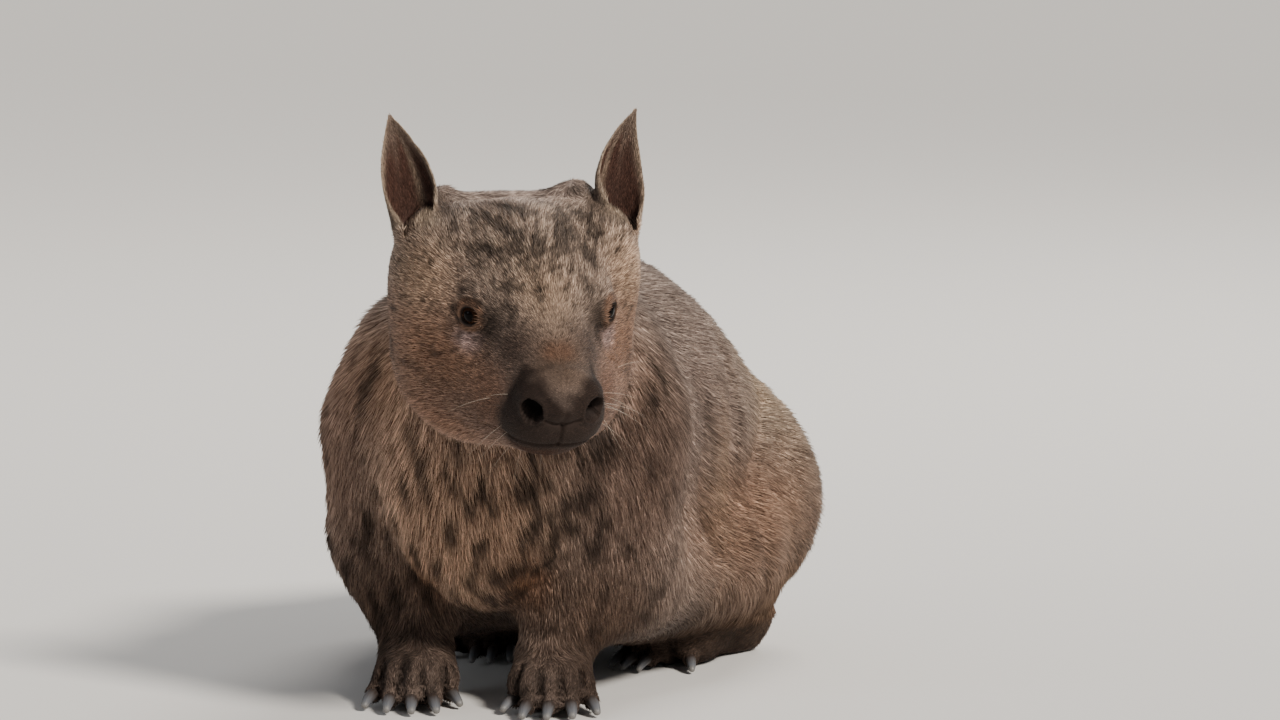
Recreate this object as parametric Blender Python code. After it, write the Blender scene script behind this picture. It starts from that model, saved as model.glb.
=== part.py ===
"""A life-size southern hairy-nosed wombat, sitting on its haunches with its head turned to its left.

The animal faces -Y, its left side is +X and it rests on the floor, z = 0. All sizes are in metres.
Each stretch of the body is a mass: an ellipsoid, a tapered limb or a lofted trunk. The masses melt into one
flesh, which is parted into its nodes by thin cuts. Ears, eyes and claws are pieces of their own.
"""

import math

import bmesh
import bpy
import numpy as np
from mathutils import Matrix, Vector

GAP = 0.0003
ROUGH_VOXEL = 0.006
BODY_VOXEL = 0.0045
HEAD_VOXEL = 0.0019
FOOT_VOXEL = 0.0018
SPARE = 0.010

# Moves the finished animal so that the middle of its box stands on the origin
SEAT = (-0.00404, -0.13868, 0.0)

# The trunk, from the breast to the loins: distance back, half width, top and bottom
TRUNK_MIDDLE_X = 0.004
TRUNK_STATIONS = (
    (-0.010, 0.070, 0.256, 0.108),
    (0.030, 0.092, 0.286, 0.078),
    (0.090, 0.114, 0.308, 0.050),
    (0.150, 0.127, 0.317, 0.036),
    (0.210, 0.132, 0.305, 0.030),
    (0.255, 0.130, 0.280, 0.028),
    (0.350, 0.104, 0.208, 0.048),
)
TRUNK_FRONT_CAP = 0.050
TRUNK_BACK_CAP = 0.050
TRUNK_SQUARENESS = 2.1
RUMP_MIDDLE = (TRUNK_MIDDLE_X, 0.300, 0.150)
RUMP_RADII = (0.122, 0.156, 0.099)
RUMP_SLOPE = 22.0
TAIL_LENGTH = 0.034

# The head, in its own frame: nose towards -y, jaw line level
HEAD_PLACE = (0.061, -0.088, 0.290)
HEAD_YAW = 33.0
HEAD_PITCH = 20.0
HEAD_STATIONS = (
    (-0.106, 0.0265, 0.010, -0.051),
    (-0.080, 0.0325, 0.026, -0.059),
    (-0.055, 0.0425, 0.036, -0.068),
    (-0.030, 0.058, 0.048, -0.078),
    (0.000, 0.073, 0.061, -0.083),
    (0.030, 0.077, 0.067, -0.082),
    (0.055, 0.071, 0.063, -0.072),
)
HEAD_FRONT_CAP = 0.016
HEAD_BACK_CAP = 0.035
HEAD_SQUARENESS = 2.6

EYE_PLACE = (0.0440, -0.0400, 0.0175)
EYE_RADIUS = 0.0092
EYE_OUTWARD = 50.0
EYE_UPWARD = 4.0
EYE_OPENING = (0.0078, 0.0062)

MOUTH_FRONT_Z = -0.0450
MOUTH_CORNER_Z = -0.0420
MOUTH_CORNER_Y = -0.0640
MOUTH_GAPE = 0.0014
MOUTH_DEPTH = 0.0060
CLEFT_TOP_Z = -0.0270
CLEFT_HALF_WIDTH = 0.0011
CLEFT_DEPTH = 0.0032
NOSTRIL_PLACE = (0.0190, -0.1150, -0.0165)
NOSTRIL_RADII = (0.0080, 0.0110, 0.0062)

# The ears: tubular at the root, wide cups above it, pointed tips that bend outward
EAR_ROOT = (0.0705, 0.022, 0.032)
EAR_LEAN = (0.02, 0.43, 0.88)
EAR_FACING = 15.0
EAR_HEIGHT = 0.096
EAR_BEND = 0.015
EAR_THICKNESS = 0.0026
EAR_STATIONS = (
    (0.00, 0.0140, 158.0),
    (0.20, 0.0158, 150.0),
    (0.34, 0.0172, 120.0),
    (0.50, 0.0182, 88.0),
    (0.66, 0.0160, 71.0),
    (0.82, 0.0100, 58.0),
    (0.93, 0.0048, 50.0),
    (1.00, 0.0012, 46.0),
)
EAR_ROWS = 10
EAR_COLUMNS = 8

# Each foot: where its middle is, and the way it points, in degrees from -Y towards the animal's left
PAWS = {1: (0.053, 0.004, 12.0), -1: (-0.046, 0.002, 18.0)}
HIND_FEET = {1: (0.079, 0.236, -8.0), -1: (-0.075, 0.240, 8.0)}
ELBOW_X = {1: 0.067, -1: -0.0765}
# Each toe tip in the foot's frame: outward, forward and turned outward, in degrees
PAW_TOES = (
    (-0.0220, 0.0160, -24.0),
    (-0.0115, 0.0440, -8.0),
    (0.0030, 0.0465, 0.0),
    (0.0170, 0.0400, 9.0),
    (0.0285, 0.0220, 20.0),
)
HIND_TOES = (
    (-0.0280, 0.0380, -6.0),
    (-0.0160, 0.0460, -3.0),
    (-0.0040, 0.0470, 0.0),
    (0.0220, 0.0350, 28.0),
)
PAW_TOE_RADIUS = 0.0080
HIND_TOE_RADIUS = 0.0072
TOE_LENGTH = 0.022
CLAW_SEAT = 0.0045
PAW_CLAW = (0.0150, 0.0044)
HIND_CLAW = (0.0150, 0.0037)
CLAW_LIFT = 0.0006

# Where the flesh is cut: the head behind the jaw, the neck before the shoulders, the limbs below the trunk
HEAD_CUT = 0.028
HEAD_CUT_TILT = 35.0
NECK_CUT = -0.1556
NECK_CUT_TILT = 45.0
WRIST_Z = 0.036
HOCK_Z = 0.030

# Colour, roughness and metallic of each finish
FINISHES = {
    "coat_back": ((0.165, 0.125, 0.103), 0.85, 0.0),
    "coat_neck": ((0.190, 0.125, 0.086), 0.85, 0.0),
    "coat_head": ((0.205, 0.142, 0.104), 0.85, 0.0),
    "coat_ear": ((0.095, 0.052, 0.036), 0.80, 0.0),
    "coat_foreleg": ((0.078, 0.053, 0.041), 0.88, 0.0),
    "coat_hindleg": ((0.110, 0.075, 0.055), 0.88, 0.0),
    "coat_foot": ((0.028, 0.021, 0.017), 0.88, 0.0),
    "coat_tail": ((0.140, 0.105, 0.085), 0.85, 0.0),
    "eye": ((0.012, 0.007, 0.005), 0.08, 0.0),
    "horn": ((0.300, 0.310, 0.340), 0.42, 0.0),
}


def as_array(point):
    return np.array(point, dtype=float)


def smooth_curve(x, xs, ys):
    """Values of a curve through (xs, ys) that never overshoots and is level at both ends."""
    xs, ys = as_array(xs), as_array(ys)
    step = np.diff(xs)
    rise = np.diff(ys) / step
    slope = np.zeros(len(xs))
    same = rise[1:] * rise[:-1] > 0
    slope[1:-1][same] = (2 * rise[1:] * rise[:-1] / np.where(same, rise[1:] + rise[:-1], 1))[same]
    i = np.clip(np.searchsorted(xs, x) - 1, 0, len(xs) - 2)
    t = (x - xs[i]) / step[i]
    return (
        (1 + 2 * t) * (1 - t) ** 2 * ys[i]
        + t * (1 - t) ** 2 * step[i] * slope[i]
        + t * t * (3 - 2 * t) * ys[i + 1]
        + t * t * (t - 1) * step[i] * slope[i + 1]
    )


def turned(degrees):
    """Rotation matrix for turns about x, then y, then z, in degrees."""
    x, y, z = (math.radians(d) for d in degrees)
    turn = Matrix.Rotation(z, 3, "Z") @ Matrix.Rotation(y, 3, "Y") @ Matrix.Rotation(x, 3, "X")
    return np.array(turn)


def unit(vector):
    return vector / np.linalg.norm(vector)


class Ellipsoid:
    def __init__(self, centre, radii, turn=(0, 0, 0), melt=0.02):
        self.centre, self.radii, self.matrix, self.melt = as_array(centre), as_array(radii), turned(turn), melt

    def distance(self, points):
        scaled = (points - self.centre) @ self.matrix / self.radii
        k0 = np.sqrt((scaled**2).sum(1)) + 1e-9
        k1 = np.sqrt(((scaled / self.radii) ** 2).sum(1)) + 1e-9
        return k0 * (k0 - 1) / k1

    def seeds(self):
        yield self.centre, self.radii, self.matrix


class Limb:
    """A tapered rod with round ends."""

    def __init__(self, start, end, start_radius, end_radius, melt=0.02):
        self.start, self.end = as_array(start), as_array(end)
        self.radii, self.melt = (start_radius, end_radius), melt

    def distance(self, points):
        along = self.end - self.start
        t = np.clip((points - self.start) @ along / (along @ along), 0, 1)
        radius = self.radii[0] + t * (self.radii[1] - self.radii[0])
        return np.linalg.norm(points - self.start - t[:, None] * along, axis=1) - radius

    def seeds(self):
        steps = max(2, int(np.linalg.norm(self.end - self.start) / min(self.radii) * 1.6))
        for i in range(steps + 1):
            t = i / steps
            radius = self.radii[0] + t * (self.radii[1] - self.radii[0])
            yield self.start + t * (self.end - self.start), as_array([radius] * 3), np.eye(3)


class Loft:
    """A trunk through stations along y, each with its half width, top and bottom."""

    def __init__(self, stations, middle_x, caps, squareness, melt=0.02):
        self.y, self.width, self.top, self.bottom = as_array(stations).T
        self.middle_x, self.caps, self.power, self.melt = middle_x, caps, squareness, melt

    def section(self, y):
        y = np.clip(y, self.y[0], self.y[-1])
        width = smooth_curve(y, self.y, self.width)
        top, bottom = smooth_curve(y, self.y, self.top), smooth_curve(y, self.y, self.bottom)
        return width, (top - bottom) / 2, (top + bottom) / 2

    def distance(self, points):
        width, height, middle = self.section(points[:, 1])
        beyond = points[:, 1] - np.clip(points[:, 1], self.y[0], self.y[-1])
        cap = np.where(beyond < 0, self.caps[0], self.caps[1])
        sizes = np.stack([width, cap, height], 1)
        offset = np.stack([points[:, 0] - self.middle_x, beyond, points[:, 2] - middle], 1)
        scaled = np.abs(offset / sizes)
        k0 = (scaled**self.power).sum(1) ** (1 / self.power) + 1e-9
        k1 = np.sqrt(((scaled / sizes) ** 2).sum(1)) + 1e-9
        round_k0 = np.sqrt((scaled**2).sum(1)) + 1e-9
        return (k0 - 1) * round_k0 / k1

    def seeds(self):
        for y in np.linspace(self.y[0], self.y[-1], 14):
            width, height, middle = (float(v[0]) for v in self.section(np.array([y])))
            yield as_array([self.middle_x, y, middle]), as_array([width, 0.03, height]), np.eye(3)


def melted(first, second, width):
    """Smooth union of two distances."""
    mix = np.maximum(width - np.abs(first - second), 0) / width
    return np.minimum(first, second) - mix * mix * width / 4


def on_side(side, point):
    return as_array([side * point[0], point[1], point[2]])


def heading(degrees):
    """Unit vector on the floor, from -Y towards +X."""
    angle = math.radians(degrees)
    return as_array([math.sin(angle), -math.cos(angle), 0])


def eye_axis(side):
    """The way an eye looks, in the head's frame."""
    out, up = math.radians(EYE_OUTWARD), math.radians(EYE_UPWARD)
    return as_array([side * math.sin(out) * math.cos(up), -math.cos(out) * math.cos(up), math.sin(up)])


class Head:
    """The head's masses, melted in its own frame."""

    melt = 0.03

    def __init__(self):
        self.matrix = turned((0, 0, HEAD_YAW)) @ turned((HEAD_PITCH, 0, 0))
        self.place = as_array(HEAD_PLACE)
        self.masses = [Loft(HEAD_STATIONS, 0, (HEAD_FRONT_CAP, HEAD_BACK_CAP), HEAD_SQUARENESS)]
        self.masses.append(Ellipsoid((0, -0.104, -0.016), (0.023, 0.017, 0.015), (-20, 0, 0), 0.012))
        self.masses.append(Ellipsoid((0, -0.086, -0.053), (0.020, 0.020, 0.012), (0, 0, 0), 0.012))
        for side in (1, -1):
            self.masses.extend(self.half(side))

    def half(self, side):
        """The masses of one side: cheekbone, jowl, brow, lip, nostril rim, ear root and eyelids."""

        def mass(centre, radii, turn, melt):
            return Ellipsoid(on_side(side, centre), radii, (turn[0], side * turn[1], side * turn[2]), melt)

        yield mass((0.048, 0.014, -0.020), (0.030, 0.046, 0.040), (0, 0, -12), 0.03)
        yield mass((0.036, -0.004, -0.054), (0.036, 0.056, 0.030), (0, 0, -8), 0.03)
        yield mass((0.034, -0.032, 0.029), (0.014, 0.021, 0.007), (18, 0, -25), 0.016)
        yield mass((0.029, -0.056, -0.036), (0.023, 0.038, 0.027), (0, 0, -14), 0.025)
        yield mass((0.015, -0.098, -0.031), (0.0185, 0.018, 0.020), (0, 0, 0), 0.010)
        yield mass((0.0185, -0.108, -0.011), (0.0110, 0.009, 0.009), (0, 0, 20), 0.007)
        yield mass((0.050, 0.054, 0.038), (0.022, 0.020, 0.036), (0, 0, 0), 0.026)
        yield mass((0.062, 0.024, 0.022), (0.026, 0.032, 0.041), (0, 0, 0), 0.020)
        lids = on_side(side, EYE_PLACE) + eye_axis(side) * 0.0005
        yield Ellipsoid(lids, (0.0130, 0.0112, 0.0118), (0, 0, side * EYE_OUTWARD), 0.007)

    def to_local(self, points):
        return (points - self.place) @ self.matrix

    def to_world(self, point):
        return self.matrix @ as_array(point) + self.place

    def distance(self, points):
        local = self.to_local(points)
        distance = self.masses[0].distance(local)
        for mass in self.masses[1:]:
            distance = melted(distance, mass.distance(local), mass.melt)
        return distance

    def seeds(self):
        for mass in self.masses:
            for centre, radii, matrix in mass.seeds():
                yield self.to_world(centre), radii, self.matrix @ matrix


HEAD = Head()


def toe_tip(foot, side, toe, height):
    """Where a toe ends, and the way it points."""
    x, y, way = foot[side]
    forward, outward = heading(way), heading(way + side * 90)
    tip = as_array([x, y, height]) + outward * toe[0] + forward * toe[1]
    return tip, heading(way + side * toe[2])


def toes(feet, side, shapes, radius):
    for toe in shapes:
        tip, out = toe_tip(feet, side, toe, radius + 0.0012)
        knuckle = tip - out * TOE_LENGTH + as_array([0, 0, 0.007])
        yield Limb(knuckle, tip, radius * 1.18, radius, 0.004)


def forelimb(side):
    """Shoulder, upper arm, forearm, paw and its five toes."""
    x, y, way = PAWS[side]
    middle = TRUNK_MIDDLE_X
    shoulder = (middle + side * 0.076, 0.046, 0.190)
    elbow = (ELBOW_X[side], 0.056, 0.110)
    wrist = as_array([x, y, 0.040]) - heading(way) * 0.016
    yield Ellipsoid(shoulder, (0.046, 0.062, 0.088), (0, side * -4, 0), 0.045)
    yield Limb(shoulder, elbow, 0.044, 0.042, 0.04)
    palm = as_array([x, y, 0.019]) + heading(way) * 0.008
    yield Limb(elbow, wrist, 0.041, 0.026, 0.03)
    yield Ellipsoid(palm, (0.031, 0.038, 0.021), (0, 0, way), 0.018)
    yield from toes(PAWS, side, PAW_TOES, PAW_TOE_RADIUS)


def hindlimb(side):
    """Haunch, thigh, shank, the low flank before them, foot and its four clawed toes."""
    x, y, way = HIND_FEET[side]
    middle = TRUNK_MIDDLE_X
    hip = (middle + side * 0.088, 0.320, 0.106)
    knee = (middle + side * 0.098, 0.232, 0.080)
    ankle = as_array([x + side * 0.012, y + 0.066, 0.025])
    yield Ellipsoid(hip, (0.052, 0.078, 0.076), (0, 0, side * -8), 0.04)
    yield Limb(hip, knee, 0.056, 0.046, 0.04)
    yield Limb(knee, ankle, 0.044, 0.030, 0.03)
    yield Ellipsoid((middle + side * 0.064, 0.155, 0.076), (0.058, 0.116, 0.050), (0, 0, 0), 0.045)
    yield Limb(ankle, (x, y, 0.019), 0.026, 0.019, 0.02)
    yield Ellipsoid(as_array([x, y, 0.017]) + heading(way) * 0.006, (0.031, 0.040, 0.019), (0, 0, way), 0.014)
    yield from toes(HIND_FEET, side, HIND_TOES, HIND_TOE_RADIUS)


def tail_ends():
    start = as_array([TRUNK_MIDDLE_X, 0.438, 0.112])
    return start, start + TAIL_LENGTH * unit(as_array([0, 0.62, -0.78]))


def body_masses():
    masses = [Loft(TRUNK_STATIONS, TRUNK_MIDDLE_X, (TRUNK_FRONT_CAP, TRUNK_BACK_CAP), TRUNK_SQUARENESS)]
    masses.append(Ellipsoid(RUMP_MIDDLE, RUMP_RADII, (-RUMP_SLOPE, 0, 0), 0.026))
    masses.append(Limb((0.010, 0.060, 0.218), HEAD.to_world((0, 0.045, -0.014)), 0.080, 0.058, 0.05))
    masses.append(Ellipsoid((0.004, 0.002, 0.126), (0.042, 0.048, 0.060), (-10, 0, 0), 0.06))
    for side in (1, -1):
        masses.extend(forelimb(side))
        masses.extend(hindlimb(side))
    masses.append(Limb(*tail_ends(), 0.0150, 0.0095, 0.018))
    masses.append(HEAD)
    return masses


MASSES = body_masses()


def flesh(points):
    """Distance to the animal's outer surface, less than 0 inside; the soles reach a little below the floor."""
    distance = MASSES[0].distance(points)
    for mass in MASSES[1:]:
        distance = melted(distance, mass.distance(points), mass.melt)
    return distance


class Region:
    """A box that a node is cut out by: its centre, half sizes and turn."""

    def __init__(self, centre, half, matrix=None):
        self.centre, self.half = as_array(centre), as_array(half)
        self.matrix = np.eye(3) if matrix is None else matrix

    def distance(self, points):
        return (np.abs((points - self.centre) @ self.matrix) - self.half).max(1)

    def block(self, spare):
        """A solid of the region, larger by some spare on each side."""
        shape = bmesh.new()
        size = Matrix.Diagonal((*(2 * (self.half + spare)), 1))
        place = Matrix.Translation(Vector(self.centre)) @ Matrix(self.matrix).to_4x4()
        bmesh.ops.create_cube(shape, size=1, matrix=place @ size)
        return cutter("block", shape)


def between(low, high, matrix=None):
    """The region between two corners, given along its own axes."""
    low, high = as_array(low), as_array(high)
    centre = (low + high) / 2
    return Region(centre if matrix is None else matrix @ centre, (high - low) / 2, matrix)


def clear_scene():
    for obj in list(bpy.data.objects):
        bpy.data.objects.remove(obj)


def new_object(name, shape):
    mesh = bpy.data.meshes.new(name)
    shape.to_mesh(mesh)
    shape.free()
    obj = bpy.data.objects.new(name, mesh)
    bpy.context.scene.collection.objects.link(obj)
    return obj


def cutter(name, shape):
    obj = new_object(name, shape)
    obj.hide_render = True
    obj.display_type = "WIRE"
    return obj


def applied(obj):
    """Turns an object's modifiers into its mesh."""
    graph = bpy.context.evaluated_depsgraph_get()
    mesh = bpy.data.meshes.new_from_object(obj.evaluated_get(graph))
    obj.modifiers.clear()
    obj.data = mesh
    return obj


def copied(obj, name):
    twin = obj.copy()
    twin.data = obj.data.copy()
    twin.name = name
    bpy.context.scene.collection.objects.link(twin)
    return twin


def remeshed(obj, voxel):
    modifier = obj.modifiers.new("even", "REMESH")
    modifier.mode = "VOXEL"
    modifier.voxel_size = voxel
    return applied(obj)


def combined(obj, others, operation, solver="EXACT"):
    """Cuts an object by solids, or keeps what it shares with them, and removes the solids."""
    for other in others:
        modifier = obj.modifiers.new("cut", "BOOLEAN")
        modifier.object = other
        modifier.operation = operation
        modifier.solver = solver
        applied(obj)
        bpy.data.objects.remove(other)
    return obj


def simplified(obj, triangles):
    obj.data.calc_loop_triangles()
    modifier = obj.modifiers.new("fewer", "DECIMATE")
    modifier.ratio = min(1, triangles / len(obj.data.loop_triangles))
    modifier.use_collapse_triangulate = True
    return applied(obj)


def drawn_onto(obj, field, rounds):
    """Moves each vertex onto the surface where the field is 0."""
    points = np.empty(len(obj.data.vertices) * 3, np.float32)
    obj.data.vertices.foreach_get("co", points)
    points = points.reshape(-1, 3).astype(float)
    for _ in range(rounds):
        distance = field(points)
        probe = 4e-4
        slope = np.stack([(field(points + probe * axis) - distance) / probe for axis in np.eye(3)], 1)
        steep = np.maximum((slope**2).sum(1), 0.05)
        move = slope * (distance / steep)[:, None]
        length = np.linalg.norm(move, axis=1)
        points -= move * np.minimum(1, 0.008 / np.maximum(length, 1e-9))[:, None]
    obj.data.vertices.foreach_set("co", points.astype(np.float32).ravel())
    obj.data.update()
    return obj


def largest(obj):
    """Keeps only an object's largest closed surface."""
    shape = bmesh.new()
    shape.from_mesh(obj.data)
    seen, shells = set(), []
    for start in shape.verts:
        if start in seen:
            continue
        shell, stack = set(), [start]
        while stack:
            vert = stack.pop()
            if vert in shell:
                continue
            shell.add(vert)
            stack.extend(edge.other_vert(vert) for edge in vert.link_edges)
        seen |= shell
        shells.append(shell)
    shells.sort(key=len)
    loose = [vert for shell in shells[:-1] for vert in shell]
    bmesh.ops.delete(shape, geom=loose, context="VERTS")
    shape.to_mesh(obj.data)
    shape.free()
    return obj


def swollen(obj, amount):
    """A cutter with an object's shape, grown by some amount."""
    twin = copied(obj, "swollen")
    twin.hide_render = True
    twin.display_type = "WIRE"
    normals = np.empty(len(twin.data.vertices) * 3, np.float32)
    points = normals.copy()
    twin.data.vertices.foreach_get("normal", normals)
    twin.data.vertices.foreach_get("co", points)
    twin.data.vertices.foreach_set("co", points + normals * amount)
    twin.data.update()
    return twin


def rough_flesh():
    """The joined masses, evenly meshed and drawn onto their melted surface."""
    shape = bmesh.new()
    for mass in MASSES:
        for centre, radii, matrix in mass.seeds():
            place = Matrix.Translation(Vector(centre)) @ Matrix(matrix).to_4x4() @ Matrix.Diagonal((*radii, 1))
            bmesh.ops.create_icosphere(shape, subdivisions=3, radius=1, matrix=place)
    obj = cutter("rough", shape)
    remeshed(obj, ROUGH_VOXEL)
    return drawn_onto(obj, flesh, 5)


def flesh_in(rough, name, region, voxel, triangles):
    """The flesh inside a region, finely meshed, simplified and cut along the region's sides."""
    obj = copied(rough, name)
    combined(obj, [region.block(SPARE)], "INTERSECT", "MANIFOLD")

    def kept(points):
        return np.maximum(flesh(points), region.distance(points) - SPARE)

    for rounds in (3, 2):
        remeshed(obj, voxel)
        drawn_onto(obj, kept, rounds)
    simplified(obj, triangles)
    obj.hide_render = False
    obj.display_type = "TEXTURED"
    return combined(obj, [region.block(0)], "INTERSECT", "MANIFOLD")


def ball(centre, radii, matrix, subdivisions):
    shape = bmesh.new()
    place = Matrix.Translation(Vector(centre)) @ Matrix(matrix).to_4x4() @ Matrix.Diagonal((*radii, 1))
    bmesh.ops.create_icosphere(shape, subdivisions=subdivisions, radius=1, matrix=place)
    return shape


def tube(rings):
    """A closed solid through rings of points, each with as many points as the others."""
    shape = bmesh.new()
    rows = [[shape.verts.new(point) for point in ring] for ring in rings]
    for row, after in zip(rows, rows[1:]):
        for i in range(len(row)):
            k = (i + 1) % len(row)
            shape.faces.new((row[i], row[k], after[k], after[i]))
    shape.faces.new(rows[0][::-1])
    shape.faces.new(rows[-1])
    bmesh.ops.triangulate(shape, faces=shape.faces[:])
    bmesh.ops.recalc_face_normals(shape, faces=shape.faces[:])
    return shape


def skin_depth(start, direction):
    """How far from a point inside the head its surface lies, in the head's frame."""
    steps = np.linspace(0, 0.08, 400)
    points = as_array(start) + steps[:, None] * direction
    outside = np.where(flesh(points @ HEAD.matrix.T + HEAD.place) > 0)[0]
    return steps[outside[0]]


def groove(course, across, widths, depth):
    """A wedge along the head's surface; the course gives a point inside and the way out of each step."""
    rings = []
    for i, (start, direction) in enumerate(course):
        direction = unit(as_array(direction))
        at_end = i in (0, len(course) - 1)
        surface = as_array(start) + direction * skin_depth(start, direction)
        deep = surface - direction * (depth * 0.3 if at_end else depth)
        high = surface + direction * 0.003
        narrow, wide = across * widths[1], across * widths[0]
        ring = (deep - narrow, deep + narrow, high + wide, high - wide)
        rings.append([HEAD.to_world(point) for point in ring])
    return cutter("groove", tube(rings))


def mouth_groove():
    """The line between the lips, from one corner round the front to the other."""
    course = []
    for share in np.linspace(-1, 1, 19):
        back = abs(share)
        z = MOUTH_FRONT_Z + back**2 * (MOUTH_CORNER_Z - MOUTH_FRONT_Z)
        turn = math.radians(88 * min(1, back / 0.7)) * (1 if share > 0 else -1)
        y = -0.088 + max(0, back - 0.5) * 2 * (MOUTH_CORNER_Y + 0.088)
        course.append(((0.010 * math.sin(turn), y, z), (math.sin(turn), -math.cos(turn), 0)))
    return groove(course, as_array([0, 0, 1]), (MOUTH_GAPE, 0.0003), MOUTH_DEPTH)


def cleft_groove():
    """The cleft of the upper lip, from below the nose to the mouth."""
    heights = np.linspace(MOUTH_FRONT_Z + 0.001, CLEFT_TOP_Z, 6)
    course = [((0, -0.092, z), (0, -1, 0)) for z in heights]
    return groove(course, as_array([1, 0, 0]), (CLEFT_HALF_WIDTH, 0.0002), CLEFT_DEPTH)


def head_hollows(side):
    """The eye's socket, the opening between the lids, and the nostril, as cutters."""
    place = HEAD.to_world(on_side(side, EYE_PLACE))
    socket = cutter("socket", ball(place, [EYE_RADIUS + GAP] * 3, HEAD.matrix, 3))
    opening = HEAD.to_world(on_side(side, EYE_PLACE) + eye_axis(side) * 0.0100)
    facing = HEAD.matrix @ turned((0, 0, side * EYE_OUTWARD)) @ turned((EYE_UPWARD, side * 6, 0))
    slit = cutter("slit", ball(opening, (EYE_OPENING[0], 0.0062, EYE_OPENING[1]), facing, 3))
    facing = HEAD.matrix @ turned((18, 0, side * 32)) @ turned((0, side * 30, 0))
    nostril = cutter("nostril", ball(HEAD.to_world(on_side(side, NOSTRIL_PLACE)), NOSTRIL_RADII, facing, 3))
    return [socket, slit, nostril]


def eye(side):
    centre = HEAD.to_world(on_side(side, EYE_PLACE))
    return new_object(side_name("eye", side), ball(centre, [EYE_RADIUS] * 3, HEAD.matrix, 3))


def ear_point(side, up, across, inward):
    """A point of the ear's sheet, in the head's frame; across runs from -1 to 1 round the cup."""
    shares, widths, wraps = as_array(EAR_STATIONS).T
    half_width = float(smooth_curve(np.array([up]), shares, widths)[0])
    wrap = math.radians(float(smooth_curve(np.array([up]), shares, wraps)[0]))
    radius = half_width / math.sin(min(wrap, math.pi / 2)) - inward
    axis = unit(on_side(side, EAR_LEAN))
    out = math.radians(EAR_FACING)
    facing = as_array([side * math.sin(out), -math.cos(out), 0])
    facing = unit(facing - axis * (facing @ axis))
    sideways = np.cross(axis, facing)
    angle = across * wrap
    middle = on_side(side, EAR_ROOT) + axis * EAR_HEIGHT * up + as_array([side, 0, 0]) * EAR_BEND * up**2
    return middle + radius * (sideways * math.sin(angle) - facing * math.cos(angle))


def ear(side, head):
    """A thin cup between an outer and an inner sheet, trimmed where it meets the head."""
    shape = bmesh.new()
    grids = []
    for layer in (0, 1):
        grid = []
        for row in range(EAR_ROWS + 1):
            up = row / EAR_ROWS
            line = []
            for column in range(EAR_COLUMNS + 1):
                across = column / EAR_COLUMNS * 2 - 1
                thickness = EAR_THICKNESS * (1 - 0.45 * abs(across) ** 3) * (1 - 0.62 * up**2)
                line.append(shape.verts.new(HEAD.to_world(ear_point(side, up, across, layer * thickness))))
            grid.append(line)
        grids.append(grid)
    for row in range(EAR_ROWS):
        for column in range(EAR_COLUMNS):
            for grid in grids:
                a, b = grid[row][column], grid[row][column + 1]
                c, d = grid[row + 1][column + 1], grid[row + 1][column]
                shape.faces.new((a, b, c))
                shape.faces.new((a, c, d))
        for column in (0, EAR_COLUMNS):
            rim = [(grid[row][column], grid[row + 1][column]) for grid in grids]
            shape.faces.new((*rim[0], rim[1][1], rim[1][0]))
    for column in range(EAR_COLUMNS):
        for row in (0, EAR_ROWS):
            rim = [(grid[row][column], grid[row][column + 1]) for grid in grids]
            shape.faces.new((*rim[0], rim[1][1], rim[1][0]))
    bmesh.ops.triangulate(shape, faces=shape.faces[:])
    bmesh.ops.recalc_face_normals(shape, faces=shape.faces[:])
    obj = new_object(side_name("ear", side), shape)
    return largest(combined(obj, [swollen(head, GAP * 1.3)], "DIFFERENCE"))


def claw_solid(feet, side, toe, size, toe_radius, grow):
    """A curved, blunt claw that leaves the toe level and bends down to the floor."""
    length, half_width = size
    tip, out = toe_tip(feet, side, toe, toe_radius + 0.0012)
    across = as_array([-out[1], out[0], 0])
    start = toe_radius - CLAW_SEAT
    run = CLAW_SEAT + length
    low = tip[2] - CLAW_LIFT - half_width * 0.45
    rings = []
    for step in range(6):
        t = step / 5
        middle = tip + out * (start + run * t) - as_array([0, 0, 1]) * low * max(0, (t - 0.12) / 0.88) ** 1.7
        if step == 0:
            middle = middle - out * grow
        slope = math.atan2(low * 1.7 * max(0, (t - 0.12) / 0.88) ** 0.7 / 0.88, run)
        raised = as_array([0, 0, math.cos(slope)]) + out * math.sin(slope)
        wide = half_width * (1 - 0.5 * t**2) + grow
        high = half_width * (1.05 - 0.55 * t**1.6) + grow
        ring = []
        for k in range(6):
            angle = 2 * math.pi * k / 6
            ring.append(middle + across * wide * math.cos(angle) + raised * high * math.sin(angle))
        rings.append(ring)
    return tube(rings)


def claws(feet, side, shapes, size, toe_radius, name):
    """The claws of a foot, and the cutters of their seats."""
    solids, seats = [], []
    for i, toe in enumerate(shapes):
        solid = claw_solid(feet, side, toe, size, toe_radius, 0)
        solids.append(new_object(f"{side_name(name, side)}_{i + 1}", solid))
        seats.append(cutter("seat", claw_solid(feet, side, toe, size, toe_radius, GAP)))
    return solids, seats


def side_name(name, side):
    return f"{name}_{'left' if side > 0 else 'right'}"


def head_region():
    matrix = HEAD.matrix @ turned((-HEAD_CUT_TILT, 0, 0))
    low, high = as_array([-0.15, -0.22, -0.16]), as_array([0.15, HEAD_CUT, 0.18])
    return Region(HEAD.place + matrix @ ((low + high) / 2), (high - low) / 2, matrix)


def neck_region():
    return between((-0.20, NECK_CUT - 0.30, 0.045), (0.22, NECK_CUT, 0.42), turned((-NECK_CUT_TILT, 0, 0)))


def foreleg_region(side):
    matrix = turned((0, side * -22, 0))
    low, high = as_array([-0.016, -0.12, -0.10]), as_array([0.20, 0.090, 0.078])
    if side < 0:
        low[0], high[0] = -high[0], -low[0]
    return between(low, high, matrix)


def other_half(side):
    """All that lies on the animal's other side."""
    return between((min(0, -side), -1, -1), (max(0, -side), 1, 1))


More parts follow.
